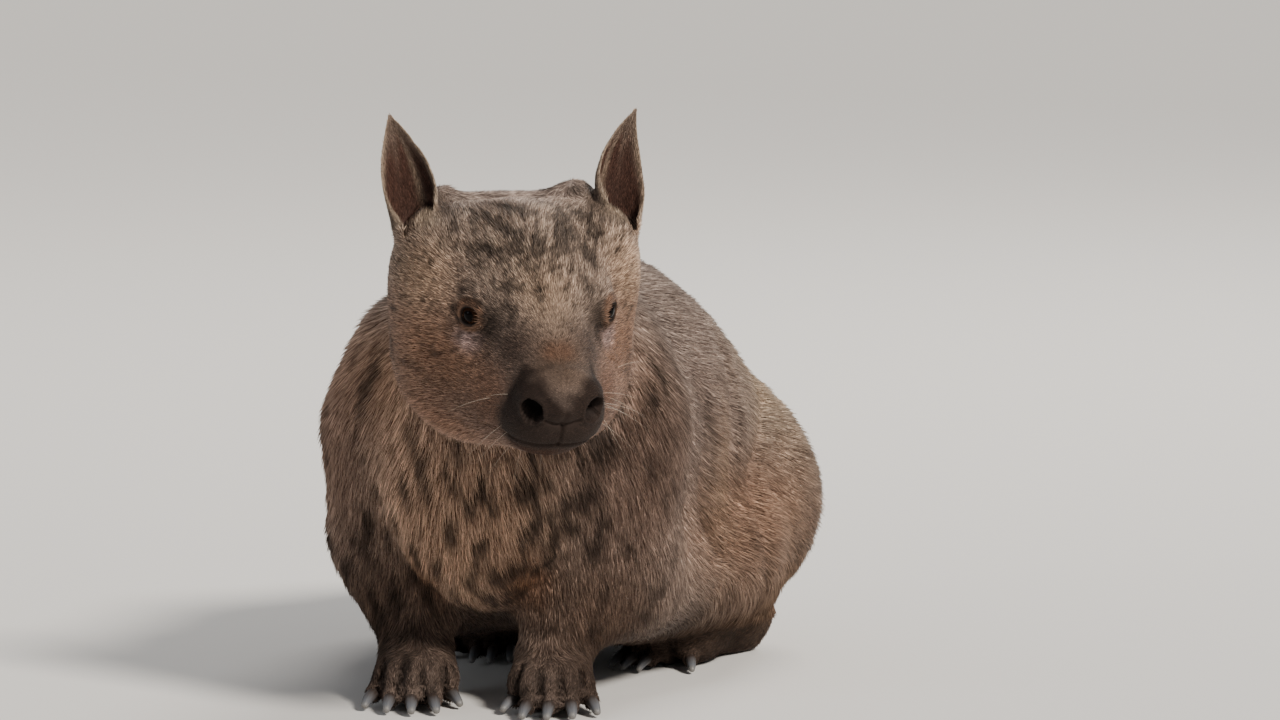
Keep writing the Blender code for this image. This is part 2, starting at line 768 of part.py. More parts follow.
def hindleg_region(side):
    inner, outer = TRUNK_MIDDLE_X + side * 0.050, TRUNK_MIDDLE_X + side * 0.25
    return between((min(inner, outer), 0.17, -0.10), (max(inner, outer), 0.395, 0.100))


def forefoot_region(side):
    inner, outer = TRUNK_MIDDLE_X + side * 0.001, TRUNK_MIDDLE_X + side * 0.16
    return between((min(inner, outer), -0.15, 0), (max(inner, outer), 0.09, WRIST_Z))


def hindfoot_region(side):
    inner, outer = TRUNK_MIDDLE_X + side * 0.030, TRUNK_MIDDLE_X + side * 0.25
    return between((min(inner, outer), 0.14, 0), (max(inner, outer), 0.36, HOCK_Z))


def tail_region():
    start = tail_ends()[0]
    return between((start[0] - 0.05, 0.4545, -0.10), (start[0] + 0.05, 0.55, start[2] + 0.016))


def finished(obj, finish):
    """Gives a node its material and smooth shading, and seats it on the origin."""
    colour, roughness, metallic = FINISHES[finish]
    material = bpy.data.materials.new(obj.name)
    material.use_nodes = True
    shader = material.node_tree.nodes["Principled BSDF"]
    shader.inputs["Base Color"].default_value = (*colour, 1)
    shader.inputs["Roughness"].default_value = roughness
    shader.inputs["Metallic"].default_value = metallic
    obj.data.materials.clear()
    obj.data.materials.append(material)
    obj.data.transform(Matrix.Translation(SEAT))
    for face in obj.data.polygons:
        face.use_smooth = True
        face.material_index = 0


def limb_nodes(rough, side):
    """One side's legs, feet and claws, each with its finish."""
    made = []
    fore = (foreleg_region, forefoot_region, PAWS, PAW_TOES, PAW_CLAW, PAW_TOE_RADIUS, 850)
    hind = (hindleg_region, hindfoot_region, HIND_FEET, HIND_TOES, HIND_CLAW, HIND_TOE_RADIUS, 640)
    for kind, (leg_region, foot_region, feet, shapes, size, radius, most) in (("fore", fore), ("hind", hind)):
        leg = flesh_in(rough, side_name(f"{kind}leg", side), leg_region(side), BODY_VOXEL, 900)
        others = [foot_region(side).block(GAP), other_half(side).block(GAP / 2)]
        combined(leg, others, "DIFFERENCE", "MANIFOLD")
        foot = flesh_in(rough, side_name(f"{kind}foot", side), foot_region(side), FOOT_VOXEL, most)
        solids, seats = claws(feet, side, shapes, size, radius, f"{kind}_claw")
        combined(foot, seats, "DIFFERENCE", "MANIFOLD")
        made.append((largest(leg), f"coat_{kind}leg"))
        made.append((largest(foot), "coat_foot"))
        made.extend((solid, "horn") for solid in solids)
    return made


def main():
    clear_scene()
    rough = rough_flesh()
    head = largest(flesh_in(rough, "head", head_region(), HEAD_VOXEL, 3000))
    nodes = [(ear(side, head), "coat_ear") for side in (1, -1)]
    nodes += [(eye(side), "eye") for side in (1, -1)]
    for side in (1, -1):
        combined(head, head_hollows(side), "DIFFERENCE")
        nodes += limb_nodes(rough, side)
    combined(head, [mouth_groove(), cleft_groove()], "DIFFERENCE")
    nodes.append((largest(head), "coat_head"))

    neck = flesh_in(rough, "neck", neck_region(), BODY_VOXEL, 1100)
    combined(neck, [head_region().block(GAP)], "DIFFERENCE", "MANIFOLD")
    nodes.append((largest(neck), "coat_neck"))
    tail = flesh_in(rough, "tail", tail_region(), FOOT_VOXEL, 700)
    nodes.append((largest(tail), "coat_tail"))

    whole = between((-0.5, -0.5, -0.1), (0.5, 0.9, 0.8))
    torso = flesh_in(rough, "torso", whole, BODY_VOXEL, 5000)
    regions = [head_region(), neck_region(), tail_region()]
    for side in (1, -1):
        regions += [foreleg_region(side), hindleg_region(side), forefoot_region(side), hindfoot_region(side)]
    combined(torso, [region.block(GAP) for region in regions], "DIFFERENCE", "MANIFOLD")
    nodes.append((largest(torso), "coat_back"))

    bpy.data.objects.remove(rough)
    for obj, finish in nodes:
        finished(obj, finish)


if __name__ == "__main__":
    main()
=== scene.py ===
"""A life-size southern hairy-nosed wombat as a museum model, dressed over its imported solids.

The animal sits on its haunches facing -Y, its left side is +X, and it rests on the floor, z = 0. All sizes
are in metres. The sections follow the animal as it is put together: form, skin, coat, eyes, claws, whiskers.
"""

import math

import bmesh
import bpy
import numpy as np
from mathutils import Matrix, Vector
from mathutils.bvhtree import BVHTree


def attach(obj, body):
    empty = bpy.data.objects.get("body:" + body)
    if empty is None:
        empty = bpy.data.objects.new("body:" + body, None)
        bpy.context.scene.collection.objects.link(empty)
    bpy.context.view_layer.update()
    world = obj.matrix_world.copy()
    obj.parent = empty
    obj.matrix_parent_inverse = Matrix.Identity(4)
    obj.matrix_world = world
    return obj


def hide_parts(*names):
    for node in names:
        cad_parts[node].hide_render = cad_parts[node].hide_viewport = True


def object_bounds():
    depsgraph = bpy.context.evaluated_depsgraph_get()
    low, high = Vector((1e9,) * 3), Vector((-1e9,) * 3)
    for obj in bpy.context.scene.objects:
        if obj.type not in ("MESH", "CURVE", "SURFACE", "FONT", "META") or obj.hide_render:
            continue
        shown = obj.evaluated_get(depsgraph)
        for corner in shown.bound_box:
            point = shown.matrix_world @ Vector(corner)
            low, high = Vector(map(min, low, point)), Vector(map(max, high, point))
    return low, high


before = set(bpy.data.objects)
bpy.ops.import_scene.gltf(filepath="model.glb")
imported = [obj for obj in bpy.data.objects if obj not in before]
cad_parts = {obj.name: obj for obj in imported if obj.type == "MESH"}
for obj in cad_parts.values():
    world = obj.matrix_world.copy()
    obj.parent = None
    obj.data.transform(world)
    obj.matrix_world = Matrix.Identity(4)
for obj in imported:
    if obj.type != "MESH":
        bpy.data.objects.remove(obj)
cad_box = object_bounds()


# The stand: a plain pale floor, a pale room and soft lamps, with the camera low and a little to the
# animal's left. None of it is part of the animal.
CAMERA_PLACE = (1.6940, -5.3046, 0.8626)
CAMERA_AZIMUTH = math.radians(17.0)
CAMERA_ELEVATION = math.radians(6.5)
CAMERA_LENS = 220.98
FLOOR_SIZE = 30.0
FLOOR_DROP = 0.0002
FLOOR_COLOUR = (0.74, 0.72, 0.69)
ROOM_COLOUR = (0.86, 0.88, 0.92)
ROOM_STRENGTH = 0.30
# The high lamp is far off and soft; each near lamp has a place, size across, watts and colour. All aim at
# the animal's chest.
HIGH_LAMP = ((2.4, -1.7, 2.5), 12.0, 4.6, (1.0, 0.94, 0.86))
LAMPS = (
    ((-2.6, -2.4, 1.2), 0.9, 14.0, (0.90, 0.95, 1.0)),
    ((0.4, 2.6, 2.6), 1.8, 70.0, (1.0, 0.97, 0.93)),
)
LAMP_AIM = Vector((0.0, -0.08, 0.20))

scene = bpy.context.scene


def linked(name, data):
    """A new object in the scene."""
    obj = bpy.data.objects.new(name, data)
    scene.collection.objects.link(obj)
    return obj


camera = linked("camera", bpy.data.cameras.new("camera"))
camera.data.lens = CAMERA_LENS
camera.data.sensor_width = 36.0
camera.data.clip_start, camera.data.clip_end = 0.5, 60.0
camera.rotation_euler = (math.pi / 2 - CAMERA_ELEVATION, 0.0, CAMERA_AZIMUTH)
camera.location = CAMERA_PLACE
scene.camera = camera

floor_material = bpy.data.materials.new("pale floor")
floor_material.use_nodes = True
floor_shader = floor_material.node_tree.nodes["Principled BSDF"]
floor_shader.inputs["Base Color"].default_value = (*FLOOR_COLOUR, 1)
floor_shader.inputs["Roughness"].default_value = 0.8
shape = bmesh.new()
bmesh.ops.create_grid(shape, x_segments=1, y_segments=1, size=FLOOR_SIZE / 2)
bmesh.ops.translate(shape, verts=shape.verts, vec=(0, 0, -FLOOR_DROP))
floor_mesh = bpy.data.meshes.new("floor")
shape.to_mesh(floor_mesh)
shape.free()
floor_mesh.materials.append(floor_material)
floor = linked("floor", floor_mesh)

room = bpy.data.worlds.new("pale room")
room.use_nodes = True
room.node_tree.nodes["Background"].inputs["Color"].default_value = (*ROOM_COLOUR, 1)
room.node_tree.nodes["Background"].inputs["Strength"].default_value = ROOM_STRENGTH
scene.world = room
high = linked("high_lamp", bpy.data.lights.new("high_lamp", "SUN"))
high.location = HIGH_LAMP[0]
high.data.angle, high.data.energy, high.data.color = math.radians(HIGH_LAMP[1]), HIGH_LAMP[2], HIGH_LAMP[3]
high.rotation_euler = (LAMP_AIM - high.location).to_track_quat("-Z", "Y").to_euler()
for number, (place, size, power, colour) in enumerate(LAMPS):
    lamp = linked(f"lamp_{number + 1}", bpy.data.lights.new(f"lamp_{number + 1}", "AREA"))
    lamp.data.shape, lamp.data.size = "DISK", size
    lamp.data.energy, lamp.data.color = power, colour
    lamp.location = place
    lamp.rotation_euler = (LAMP_AIM - lamp.location).to_track_quat("-Z", "Y").to_euler()


# The form: the flesh and coat of a stout burrowing animal. Each stretch of the body is a mass, an
# ellipsoid, a tapered limb or a lofted trunk, and the masses melt into one another, as in the solids.
SEAT = np.array((-0.00404, -0.13868, 0.0))
TRUNK_MIDDLE_X = 0.004
# Distance back, half width, top and bottom
TRUNK_STATIONS = (
    (-0.010, 0.070, 0.256, 0.108), (0.030, 0.092, 0.286, 0.078), (0.090, 0.114, 0.308, 0.050),
    (0.150, 0.127, 0.317, 0.036), (0.210, 0.132, 0.305, 0.030), (0.255, 0.130, 0.280, 0.028),
    (0.350, 0.104, 0.208, 0.048),
)
TRUNK_CAPS, TRUNK_SQUARENESS = (0.050, 0.050), 2.1
RUMP_MIDDLE, RUMP_RADII, RUMP_SLOPE = (TRUNK_MIDDLE_X, 0.300, 0.150), (0.122, 0.156, 0.099), 22.0
TAIL_START, TAIL_WAY, TAIL_LENGTH = np.array((TRUNK_MIDDLE_X, 0.438, 0.112)), np.array((0, 0.62, -0.78)), 0.034
HEAD_PLACE, HEAD_YAW, HEAD_PITCH = np.array((0.061, -0.088, 0.290)), 33.0, 20.0
HEAD_STATIONS = (
    (-0.106, 0.0265, 0.010, -0.051), (-0.080, 0.0325, 0.026, -0.059), (-0.055, 0.0425, 0.036, -0.068),
    (-0.030, 0.058, 0.048, -0.078), (0.000, 0.073, 0.061, -0.083), (0.030, 0.077, 0.067, -0.082),
    (0.055, 0.071, 0.063, -0.072),
)
HEAD_CAPS, HEAD_SQUARENESS = (0.016, 0.035), 2.6
EYE_PLACE, EYE_RADIUS, EYE_OUTWARD, EYE_UPWARD = np.array((0.0440, -0.0400, 0.0175)), 0.0092, 50.0, 4.0
PAWS = {1: (0.053, 0.004, 12.0), -1: (-0.046, 0.002, 18.0)}
HIND_FEET = {1: (0.079, 0.236, -8.0), -1: (-0.075, 0.240, 8.0)}
ELBOW_X = {1: 0.067, -1: -0.0765}
# Each toe tip in the foot's frame: outward, forward and turned outward, in degrees
PAW_TOES = ((-0.0220, 0.0160, -24.0), (-0.0115, 0.0440, -8.0), (0.0030, 0.0465, 0.0), (0.0170, 0.0400, 9.0),
            (0.0285, 0.0220, 20.0))
HIND_TOES = ((-0.0280, 0.0380, -6.0), (-0.0160, 0.0460, -3.0), (-0.0040, 0.0470, 0.0), (0.0220, 0.0350, 28.0))
PAW_TOE_RADIUS, HIND_TOE_RADIUS, TOE_LENGTH = 0.0080, 0.0072, 0.022


def turned(x, y, z):
    """Rotation matrix for turns about x, then y, then z, in degrees."""
    x, y, z = math.radians(x), math.radians(y), math.radians(z)
    return np.array(Matrix.Rotation(z, 3, "Z") @ Matrix.Rotation(y, 3, "Y") @ Matrix.Rotation(x, 3, "X"))


def unit(vectors):
    vectors = np.asarray(vectors, dtype=float)
    return vectors / np.maximum(np.linalg.norm(vectors, axis=-1, keepdims=True), 1e-9)


def smooth_curve(x, xs, ys):
    """Values of a curve through (xs, ys) that never overshoots and is level at both ends."""
    xs, ys = np.asarray(xs, dtype=float), np.asarray(ys, dtype=float)
    step = np.diff(xs)
    rise = np.diff(ys) / step
    slope = np.zeros(len(xs))
    same = rise[1:] * rise[:-1] > 0
    slope[1:-1][same] = (2 * rise[1:] * rise[:-1] / np.where(same, rise[1:] + rise[:-1], 1))[same]
    i = np.clip(np.searchsorted(xs, x) - 1, 0, len(xs) - 2)
    t = (x - xs[i]) / step[i]
    return ((1 + 2 * t) * (1 - t) ** 2 * ys[i] + t * (1 - t) ** 2 * step[i] * slope[i]
            + t * t * (3 - 2 * t) * ys[i + 1] + t * t * (t - 1) * step[i] * slope[i + 1])


SPARE_REACH = 0.016


def ellipsoid(centre, radii, turn=(0, 0, 0), melt=0.02):
    centre, radii, matrix = np.asarray(centre, dtype=float), np.asarray(radii, dtype=float), turned(*turn)

    def distance(points):
        scaled = (points - centre) @ matrix / radii
        k0 = np.sqrt((scaled**2).sum(1)) + 1e-9
        return k0 * (k0 - 1) / (np.sqrt(((scaled / radii) ** 2).sum(1)) + 1e-9)

    return distance, melt, centre, radii.max() + melt + SPARE_REACH


def limb(start, end, start_radius, end_radius, melt=0.02):
    """A tapered rod with round ends."""
    start, along = np.asarray(start, dtype=float), np.asarray(end, dtype=float) - start

    def distance(points):
        t = np.clip((points - start) @ along / (along @ along), 0, 1)
        radius = start_radius + t * (end_radius - start_radius)
        return np.linalg.norm(points - start - t[:, None] * along, axis=1) - radius

    reach = np.linalg.norm(along) / 2 + max(start_radius, end_radius) + melt + SPARE_REACH
    return distance, melt, start + along / 2, reach


def loft(stations, middle_x, caps, squareness, melt=0.02):
    """A trunk through stations along y, each with its half width, top and bottom."""
    ys, widths, tops, bottoms = np.array(stations).T

    def distance(points):
        y = np.clip(points[:, 1], ys[0], ys[-1])
        top, bottom = smooth_curve(y, ys, tops), smooth_curve(y, ys, bottoms)
        beyond = points[:, 1] - y
        sizes = np.stack([smooth_curve(y, ys, widths), np.where(beyond < 0, *caps), (top - bottom) / 2], 1)
        offset = np.stack([points[:, 0] - middle_x, beyond, points[:, 2] - (top + bottom) / 2], 1)
        scaled = np.abs(offset / sizes)
        k0 = (scaled**squareness).sum(1) ** (1 / squareness) + 1e-9
        k1 = np.sqrt(((scaled / sizes) ** 2).sum(1)) + 1e-9
        return (k0 - 1) * (np.sqrt((scaled**2).sum(1)) + 1e-9) / k1

    return distance, melt, np.zeros(3), 9.0


def melted(masses, points):
    """Distance to the masses' smooth union; each mass counts only for the points within its reach."""
    distance = masses[0][0](points)
    for mass, width, middle, reach in masses[1:]:
        near = np.flatnonzero(((points - middle) ** 2).sum(1) < reach * reach)
        if len(near):
            own, other = distance[near], mass(points[near])
            mix = np.maximum(width - np.abs(own - other), 0) / width
            distance[near] = np.minimum(own, other) - mix * mix * width / 4
    return distance


def on_side(side, point):
    return np.array((side * point[0], point[1], point[2]))


def heading(degrees):
    """Unit vector on the floor, from -Y towards +X."""
    return np.array((math.sin(math.radians(degrees)), -math.cos(math.radians(degrees)), 0))


def eye_axis(side):
    """The way an eye looks, in the head's frame."""
    out, up = math.radians(EYE_OUTWARD), math.radians(EYE_UPWARD)
    return np.array((side * math.sin(out) * math.cos(up), -math.cos(out) * math.cos(up), math.sin(up)))


HEAD_MATRIX = turned(0, 0, HEAD_YAW) @ turned(HEAD_PITCH, 0, 0)
# The masses of one side of the head: middle, radii, turn and melt
HEAD_HALF = (
    ((0.048, 0.014, -0.020), (0.030, 0.046, 0.040), (0, 0, -12), 0.03),
    ((0.036, -0.004, -0.054), (0.036, 0.056, 0.030), (0, 0, -8), 0.03),
    ((0.034, -0.032, 0.029), (0.014, 0.021, 0.007), (18, 0, -25), 0.016),
    ((0.029, -0.056, -0.036), (0.023, 0.038, 0.027), (0, 0, -14), 0.025),
    ((0.015, -0.098, -0.031), (0.0185, 0.018, 0.020), (0, 0, 0), 0.010),
    ((0.0185, -0.108, -0.011), (0.0110, 0.009, 0.009), (0, 0, 20), 0.007),
    ((0.050, 0.054, 0.038), (0.022, 0.020, 0.036), (0, 0, 0), 0.026),
    ((0.062, 0.024, 0.022), (0.026, 0.032, 0.041), (0, 0, 0), 0.020),
)
head_masses = [loft(HEAD_STATIONS, 0, HEAD_CAPS, HEAD_SQUARENESS)]
head_masses.append(ellipsoid((0, -0.104, -0.016), (0.023, 0.017, 0.015), (-20, 0, 0), 0.012))
head_masses.append(ellipsoid((0, -0.086, -0.053), (0.020, 0.020, 0.012), (0, 0, 0), 0.012))
for side in (1, -1):
    for centre, radii, turn, melt in HEAD_HALF:
        head_masses.append(ellipsoid(on_side(side, centre), radii, (turn[0], side * turn[1], side * turn[2]), melt))
    lids = on_side(side, EYE_PLACE) + eye_axis(side) * 0.0005
    head_masses.append(ellipsoid(lids, (0.0130, 0.0112, 0.0118), (0, 0, side * EYE_OUTWARD), 0.007))


def in_head(points):
    """Places in the head's frame: nose towards -y, jaw line level."""
    return (points - SEAT - HEAD_PLACE) @ HEAD_MATRIX


def from_head(points):
    return np.asarray(points) @ HEAD_MATRIX.T + HEAD_PLACE + SEAT


def toe_tip(foot, side, toe, height):
    """Where a toe ends, and the way it points."""
    x, y, way = foot[side]
    tip = np.array((x, y, height)) + heading(way + side * 90) * toe[0] + heading(way) * toe[1]
    return tip, heading(way + side * toe[2])


def limb_masses(side):
    """Shoulder to paw, then haunch to hind foot, each with its toes."""
    x, y, way = PAWS[side]
    shoulder, elbow = (TRUNK_MIDDLE_X + side * 0.076, 0.046, 0.190), (ELBOW_X[side], 0.056, 0.110)
    wrist = np.array((x, y, 0.040)) - heading(way) * 0.016
    yield ellipsoid(shoulder, (0.046, 0.062, 0.088), (0, side * -4, 0), 0.045)
    yield limb(shoulder, elbow, 0.044, 0.042, 0.04)
    yield limb(elbow, wrist, 0.041, 0.026, 0.03)
    yield ellipsoid(np.array((x, y, 0.019)) + heading(way) * 0.008, (0.031, 0.038, 0.021), (0, 0, way), 0.018)
    yield from toe_masses(PAWS, side, PAW_TOES, PAW_TOE_RADIUS)
    x, y, way = HIND_FEET[side]
    hip, knee = (TRUNK_MIDDLE_X + side * 0.088, 0.320, 0.106), (TRUNK_MIDDLE_X + side * 0.098, 0.232, 0.080)
    ankle = np.array((x + side * 0.012, y + 0.066, 0.025))
    yield ellipsoid(hip, (0.052, 0.078, 0.076), (0, 0, side * -8), 0.04)
    yield limb(hip, knee, 0.056, 0.046, 0.04)
    yield limb(knee, ankle, 0.044, 0.030, 0.03)
    yield ellipsoid((TRUNK_MIDDLE_X + side * 0.064, 0.155, 0.076), (0.058, 0.116, 0.050), (0, 0, 0), 0.045)
    yield limb(ankle, (x, y, 0.019), 0.026, 0.019, 0.02)
    yield ellipsoid(np.array((x, y, 0.017)) + heading(way) * 0.006, (0.031, 0.040, 0.019), (0, 0, way), 0.014)
    yield from toe_masses(HIND_FEET, side, HIND_TOES, HIND_TOE_RADIUS)


def toe_masses(feet, side, toes, radius):
    for toe in toes:
        tip, out = toe_tip(feet, side, toe, radius + 0.0012)
        yield limb(tip - out * TOE_LENGTH + np.array((0, 0, 0.007)), tip, radius * 1.18, radius, 0.004)


body_masses = [
    loft(TRUNK_STATIONS, TRUNK_MIDDLE_X, TRUNK_CAPS, TRUNK_SQUARENESS),
    ellipsoid(RUMP_MIDDLE, RUMP_RADII, (-RUMP_SLOPE, 0, 0), 0.026),
    limb((0.010, 0.060, 0.218), HEAD_MATRIX @ np.array((0, 0.045, -0.014)) + HEAD_PLACE, 0.080, 0.058, 0.05),
    ellipsoid((0.004, 0.002, 0.126), (0.042, 0.048, 0.060), (-10, 0, 0), 0.06),
    *limb_masses(1),
    *limb_masses(-1),
    limb(TAIL_START, TAIL_START + TAIL_LENGTH * unit(TAIL_WAY), 0.0150, 0.0095, 0.018),
    (lambda points: melted(head_masses, (points - HEAD_PLACE) @ HEAD_MATRIX), 0.03, HEAD_PLACE, 0.19),
]


def flesh(points):
    """Distance to the animal's outline at the tips of its coat, less than 0 inside."""
    return melted(body_masses, points - SEAT)


# The skin: one supple hide over the whole animal, a coat's depth inside its outline, with lids, nostrils,
# lips, brow furrows and the loose folds of flank, haunch and cheek. It takes the place of all flesh nodes.
FLESH_NODES = [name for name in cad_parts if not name.startswith(("ear", "eye", "fore_claw", "hind_claw"))]
SKIN_VOXEL = 0.0043
NOSTRIL_PLACE, NOSTRIL_RADII = np.array((0.0190, -0.1150, -0.0165)), (0.0076, 0.0125, 0.0086)
EYE_OPENING = (0.0080, 0.0062, 0.0062)
MOUTH_FRONT_Z, MOUTH_CORNER_Z, MOUTH_CORNER_Y, MOUTH_DEPTH = -0.0450, -0.0420, -0.0640, 0.0018
CLEFT_TOP_Z, CLEFT_DEPTH = -0.0270, 0.0018
TOE_CLEFT_DEPTH, TOE_CLEFT_WIDTH, SOLE_HEIGHT = 0.0058, 0.0031, 0.0008
# How far the skin lies inside the tips of the coat, along the head from the nose back
HEAD_DEPTHS = ((-0.125, 0.0004), (-0.100, 0.0006), (-0.075, 0.0011), (-0.040, 0.0016), (0.0, 0.0022), (0.05, 0.0030))
BODY_DEPTH, LEG_DEPTH, PAW_DEPTH, TAIL_DEPTH, LID_DEPTH = 0.0048, 0.0032, 0.0013, 0.0022, 0.0006


def step_up(value, low, high):
    """From 0 at low to 1 at high, smoothly; the two may be in either order."""
    t = np.clip((value - low) / (high - low), 0, 1)
    return t * t * (3 - 2 * t)


def waves(points, size, seed):
    """Smooth lumpy noise, about -1 to 1, with lumps of some size."""
    ways = np.random.default_rng(seed).normal(size=(9, 4))
    angles = points @ (unit(ways[:, :3]) * (1 + 0.35 * ways[:, 3:])).T * (2.6 / size) + ways[:, 3] * 7
    return np.sin(angles).sum(1) / 4.0


def head_share(points):
    """1 on the head, 0 behind the jaw."""
    local = in_head(points)
    near = step_up(melted(head_masses, local), 0.020, 0.004)
    return near * step_up(local[:, 1] + 0.25 * local[:, 2], 0.070, 0.030)


def paw_share(points):
    """1 on the four feet, 0 above them."""
    place = points - SEAT
    fore = step_up(place[:, 2], 0.050, 0.030) * step_up(place[:, 1], 0.100, 0.080)
    hind = step_up(place[:, 2], 0.040, 0.024) * step_up(place[:, 1], 0.130, 0.150)
    return np.maximum(fore, hind * step_up(np.abs(place[:, 0]), 0.03, 0.05))


def coat_depth(points):
    place, local = points - SEAT, in_head(points)
    arm = step_up(place[:, 2], 0.135, 0.090) * step_up(place[:, 1], 0.13, 0.10)
    depth = BODY_DEPTH + (LEG_DEPTH - BODY_DEPTH) * arm
    tail = step_up(np.linalg.norm(place - TAIL_START - 0.02 * unit(TAIL_WAY), axis=1), 0.045, 0.025)
    depth = depth + (TAIL_DEPTH - depth) * tail * step_up(place[:, 1], 0.43, 0.45)
    depth = depth + (PAW_DEPTH - depth) * paw_share(points)
    face = np.interp(local[:, 1], *np.array(HEAD_DEPTHS).T)
    for side in (1, -1):
        from_eye = np.linalg.norm(local - on_side(side, EYE_PLACE), axis=1)
        face = face + (LID_DEPTH - face) * step_up(from_eye, 0.024, 0.013)
    return depth + (face - depth) * head_share(points)


def crease(distance, width):
    return np.exp(-((distance / width) ** 2))


def face_lines(local):
    """The depth of the face's creases: mouth, cleft, lid folds, furrows above the nose and cheek folds."""
    x, y, z = local.T
    front = step_up(y, -0.040, -0.060)
    back = np.clip((y + 0.088) / (MOUTH_CORNER_Y + 0.088), 0, 1)
    line = MOUTH_FRONT_Z + back**2 * (MOUTH_CORNER_Z - MOUTH_FRONT_Z)
    depth = MOUTH_DEPTH * crease(z - line, 0.0016) * step_up(y, MOUTH_CORNER_Y + 0.004, MOUTH_CORNER_Y - 0.006)
    upright = step_up(z, CLEFT_TOP_Z + 0.003, CLEFT_TOP_Z - 0.003) * step_up(z, MOUTH_FRONT_Z - 0.002, MOUTH_FRONT_Z)
    depth = depth + CLEFT_DEPTH * crease(x, 0.0013) * upright * step_up(y, -0.08, -0.09)
    arc = z - (-0.0270 + 18.0 * x**2)
    depth = depth + 0.0022 * crease(arc, 0.0012) * step_up(np.abs(x), 0.0150, 0.0110) * step_up(y, -0.095, -0.103)
    pad = np.exp(-(((x / 0.0105) ** 2 + ((z + 0.0165) / 0.0085) ** 2) ** 1.5)) - 0.5 * crease(x, 0.0022)
    depth = depth - 0.0018 * pad * step_up(y, -0.095, -0.103) * step_up(z, -0.032, -0.026)
    depth = depth - 0.0014 * crease(hollows(local) - 0.0016, 0.0016) * step_up(y, -0.092, -0.100)
    for side in (1, -1):
        away = local - on_side(side, EYE_PLACE)
        along = away @ eye_axis(side)
        flat = away - along[:, None] * eye_axis(side)
        level = unit(np.cross((0, 0, 1), eye_axis(side)))
        ring = np.hypot(flat @ level / 1.25, flat[:, 2] * 1.05)
        on_lid = step_up(along, 0.002, 0.006)
        depth = depth + on_lid * 0.0011 * crease(ring - 0.0118, 0.0010)
        depth = depth + on_lid * 0.0009 * crease(ring - 0.0150, 0.0012) * step_up(flat[:, 2], 0.004, -0.004)
        furrow = np.array((side * 0.0065, -0.0950, 0.0040))
        depth = depth + 0.0016 * crease(np.linalg.norm((local - furrow) * (1, 0.5, 1), axis=1), 0.0030)
        fold = z + 0.034 + 0.9 * (y + 0.030) + 0.0015 * np.sin(90 * y)
        on_cheek = step_up(side * x, 0.035, 0.050) * step_up(y, 0.02, -0.01)
        depth = depth + 0.0014 * crease(fold, 0.0030) * on_cheek * front
    return depth


def body_lines(place):
    """The depth of the loose folds on the flanks and at the haunches."""
    x, y, z = place.T
    depth = np.zeros(len(place))
    for side in (1, -1):
        outside = step_up(side * (x - TRUNK_MIDDLE_X), 0.070, 0.100)
        first = y - 0.128 - 0.35 * (0.20 - z) - 0.010 * np.sin(z * 38)
        depth = depth + 0.0075 * crease(first, 0.0080) * outside * step_up(z, 0.235, 0.195) * step_up(z, 0.075, 0.11)
        second = y - 0.185 - 0.15 * (0.21 - z) + 0.008 * np.sin(z * 45 + side)
        depth = depth + 0.0048 * crease(second, 0.0080) * outside * step_up(z, 0.250, 0.215) * step_up(z, 0.11, 0.145)
        groin = np.hypot(y - 0.322, (z - 0.098) * 1.15) - 0.108
        depth = depth + 0.0050 * crease(groin, 0.0090) * outside * step_up(y, 0.310, 0.270) * step_up(z, 0.03, 0.06)
    return depth


def toe_clefts(place):
    """The depth of the clefts between the toes, running back from their tips."""
    depth = np.zeros(len(place))
    for feet, toes, top in ((PAWS, PAW_TOES, 0.034), (HIND_FEET, HIND_TOES, 0.030)):
        for side, (x, y, way) in feet.items():
            forward, outward = heading(way), heading(way + side * 90)
            ahead, out = (place - (x, y, 0)) @ forward, (place - (x, y, 0)) @ outward
            for toe, after in zip(toes, toes[1:]):
                middle, tip = (toe[0] + after[0]) / 2, min(toe[1], after[1])
                splay = math.tan(math.radians((toe[2] + after[2]) / 2))
                gap = out - middle - splay * (ahead - tip)
                reach = step_up(ahead, tip - 0.030, tip - 0.014) * step_up(place[:, 2], top + 0.002, top - 0.008)
                near = np.hypot(ahead - tip, out - middle) < 0.045
                depth = np.maximum(depth, TOE_CLEFT_DEPTH * crease(gap, TOE_CLEFT_WIDTH) * reach * near)
    return depth


def detail(points):
    """How far the skin lies inside the outline, with all its lines."""
    place, local = points - SEAT, in_head(points)
    head, paw = head_share(points), paw_share(points)
    lumps = 0.0010 * waves(points, 0.030, 3) + 0.0005 * waves(points, 0.012, 4)
    depth = coat_depth(points) + lumps * (1 - 0.8 * head) * (1 - 0.8 * paw)
    return depth + face_lines(local) * head + body_lines(place) * (1 - head) + toe_clefts(place)


def nostril_turn(side):
    return turned(18, 0, side * 32) @ turned(0, side * 30, 0)


def hollows(local):
    """Distance to the openings of eyes and nostrils, less than 0 inside them."""
    nearest = np.full(len(local), 1.0)
    for side in (1, -1):
        opening = on_side(side, EYE_PLACE) + eye_axis(side) * 0.0100
        slit = turned(0, 0, side * EYE_OUTWARD) @ turned(EYE_UPWARD, side * 6, 0)
        hole = nostril_turn(side)
        shapes = ((opening, EYE_OPENING, slit), (on_side(side, NOSTRIL_PLACE), NOSTRIL_RADII, hole))
        for centre, radii, matrix in shapes:
            scaled = (local - centre) @ matrix / radii
            k0 = np.sqrt((scaled**2).sum(1)) + 1e-9
            nearest = np.minimum(nearest, k0 * (k0 - 1) / (np.sqrt(((scaled / radii) ** 2).sum(1)) + 1e-9))
    return nearest


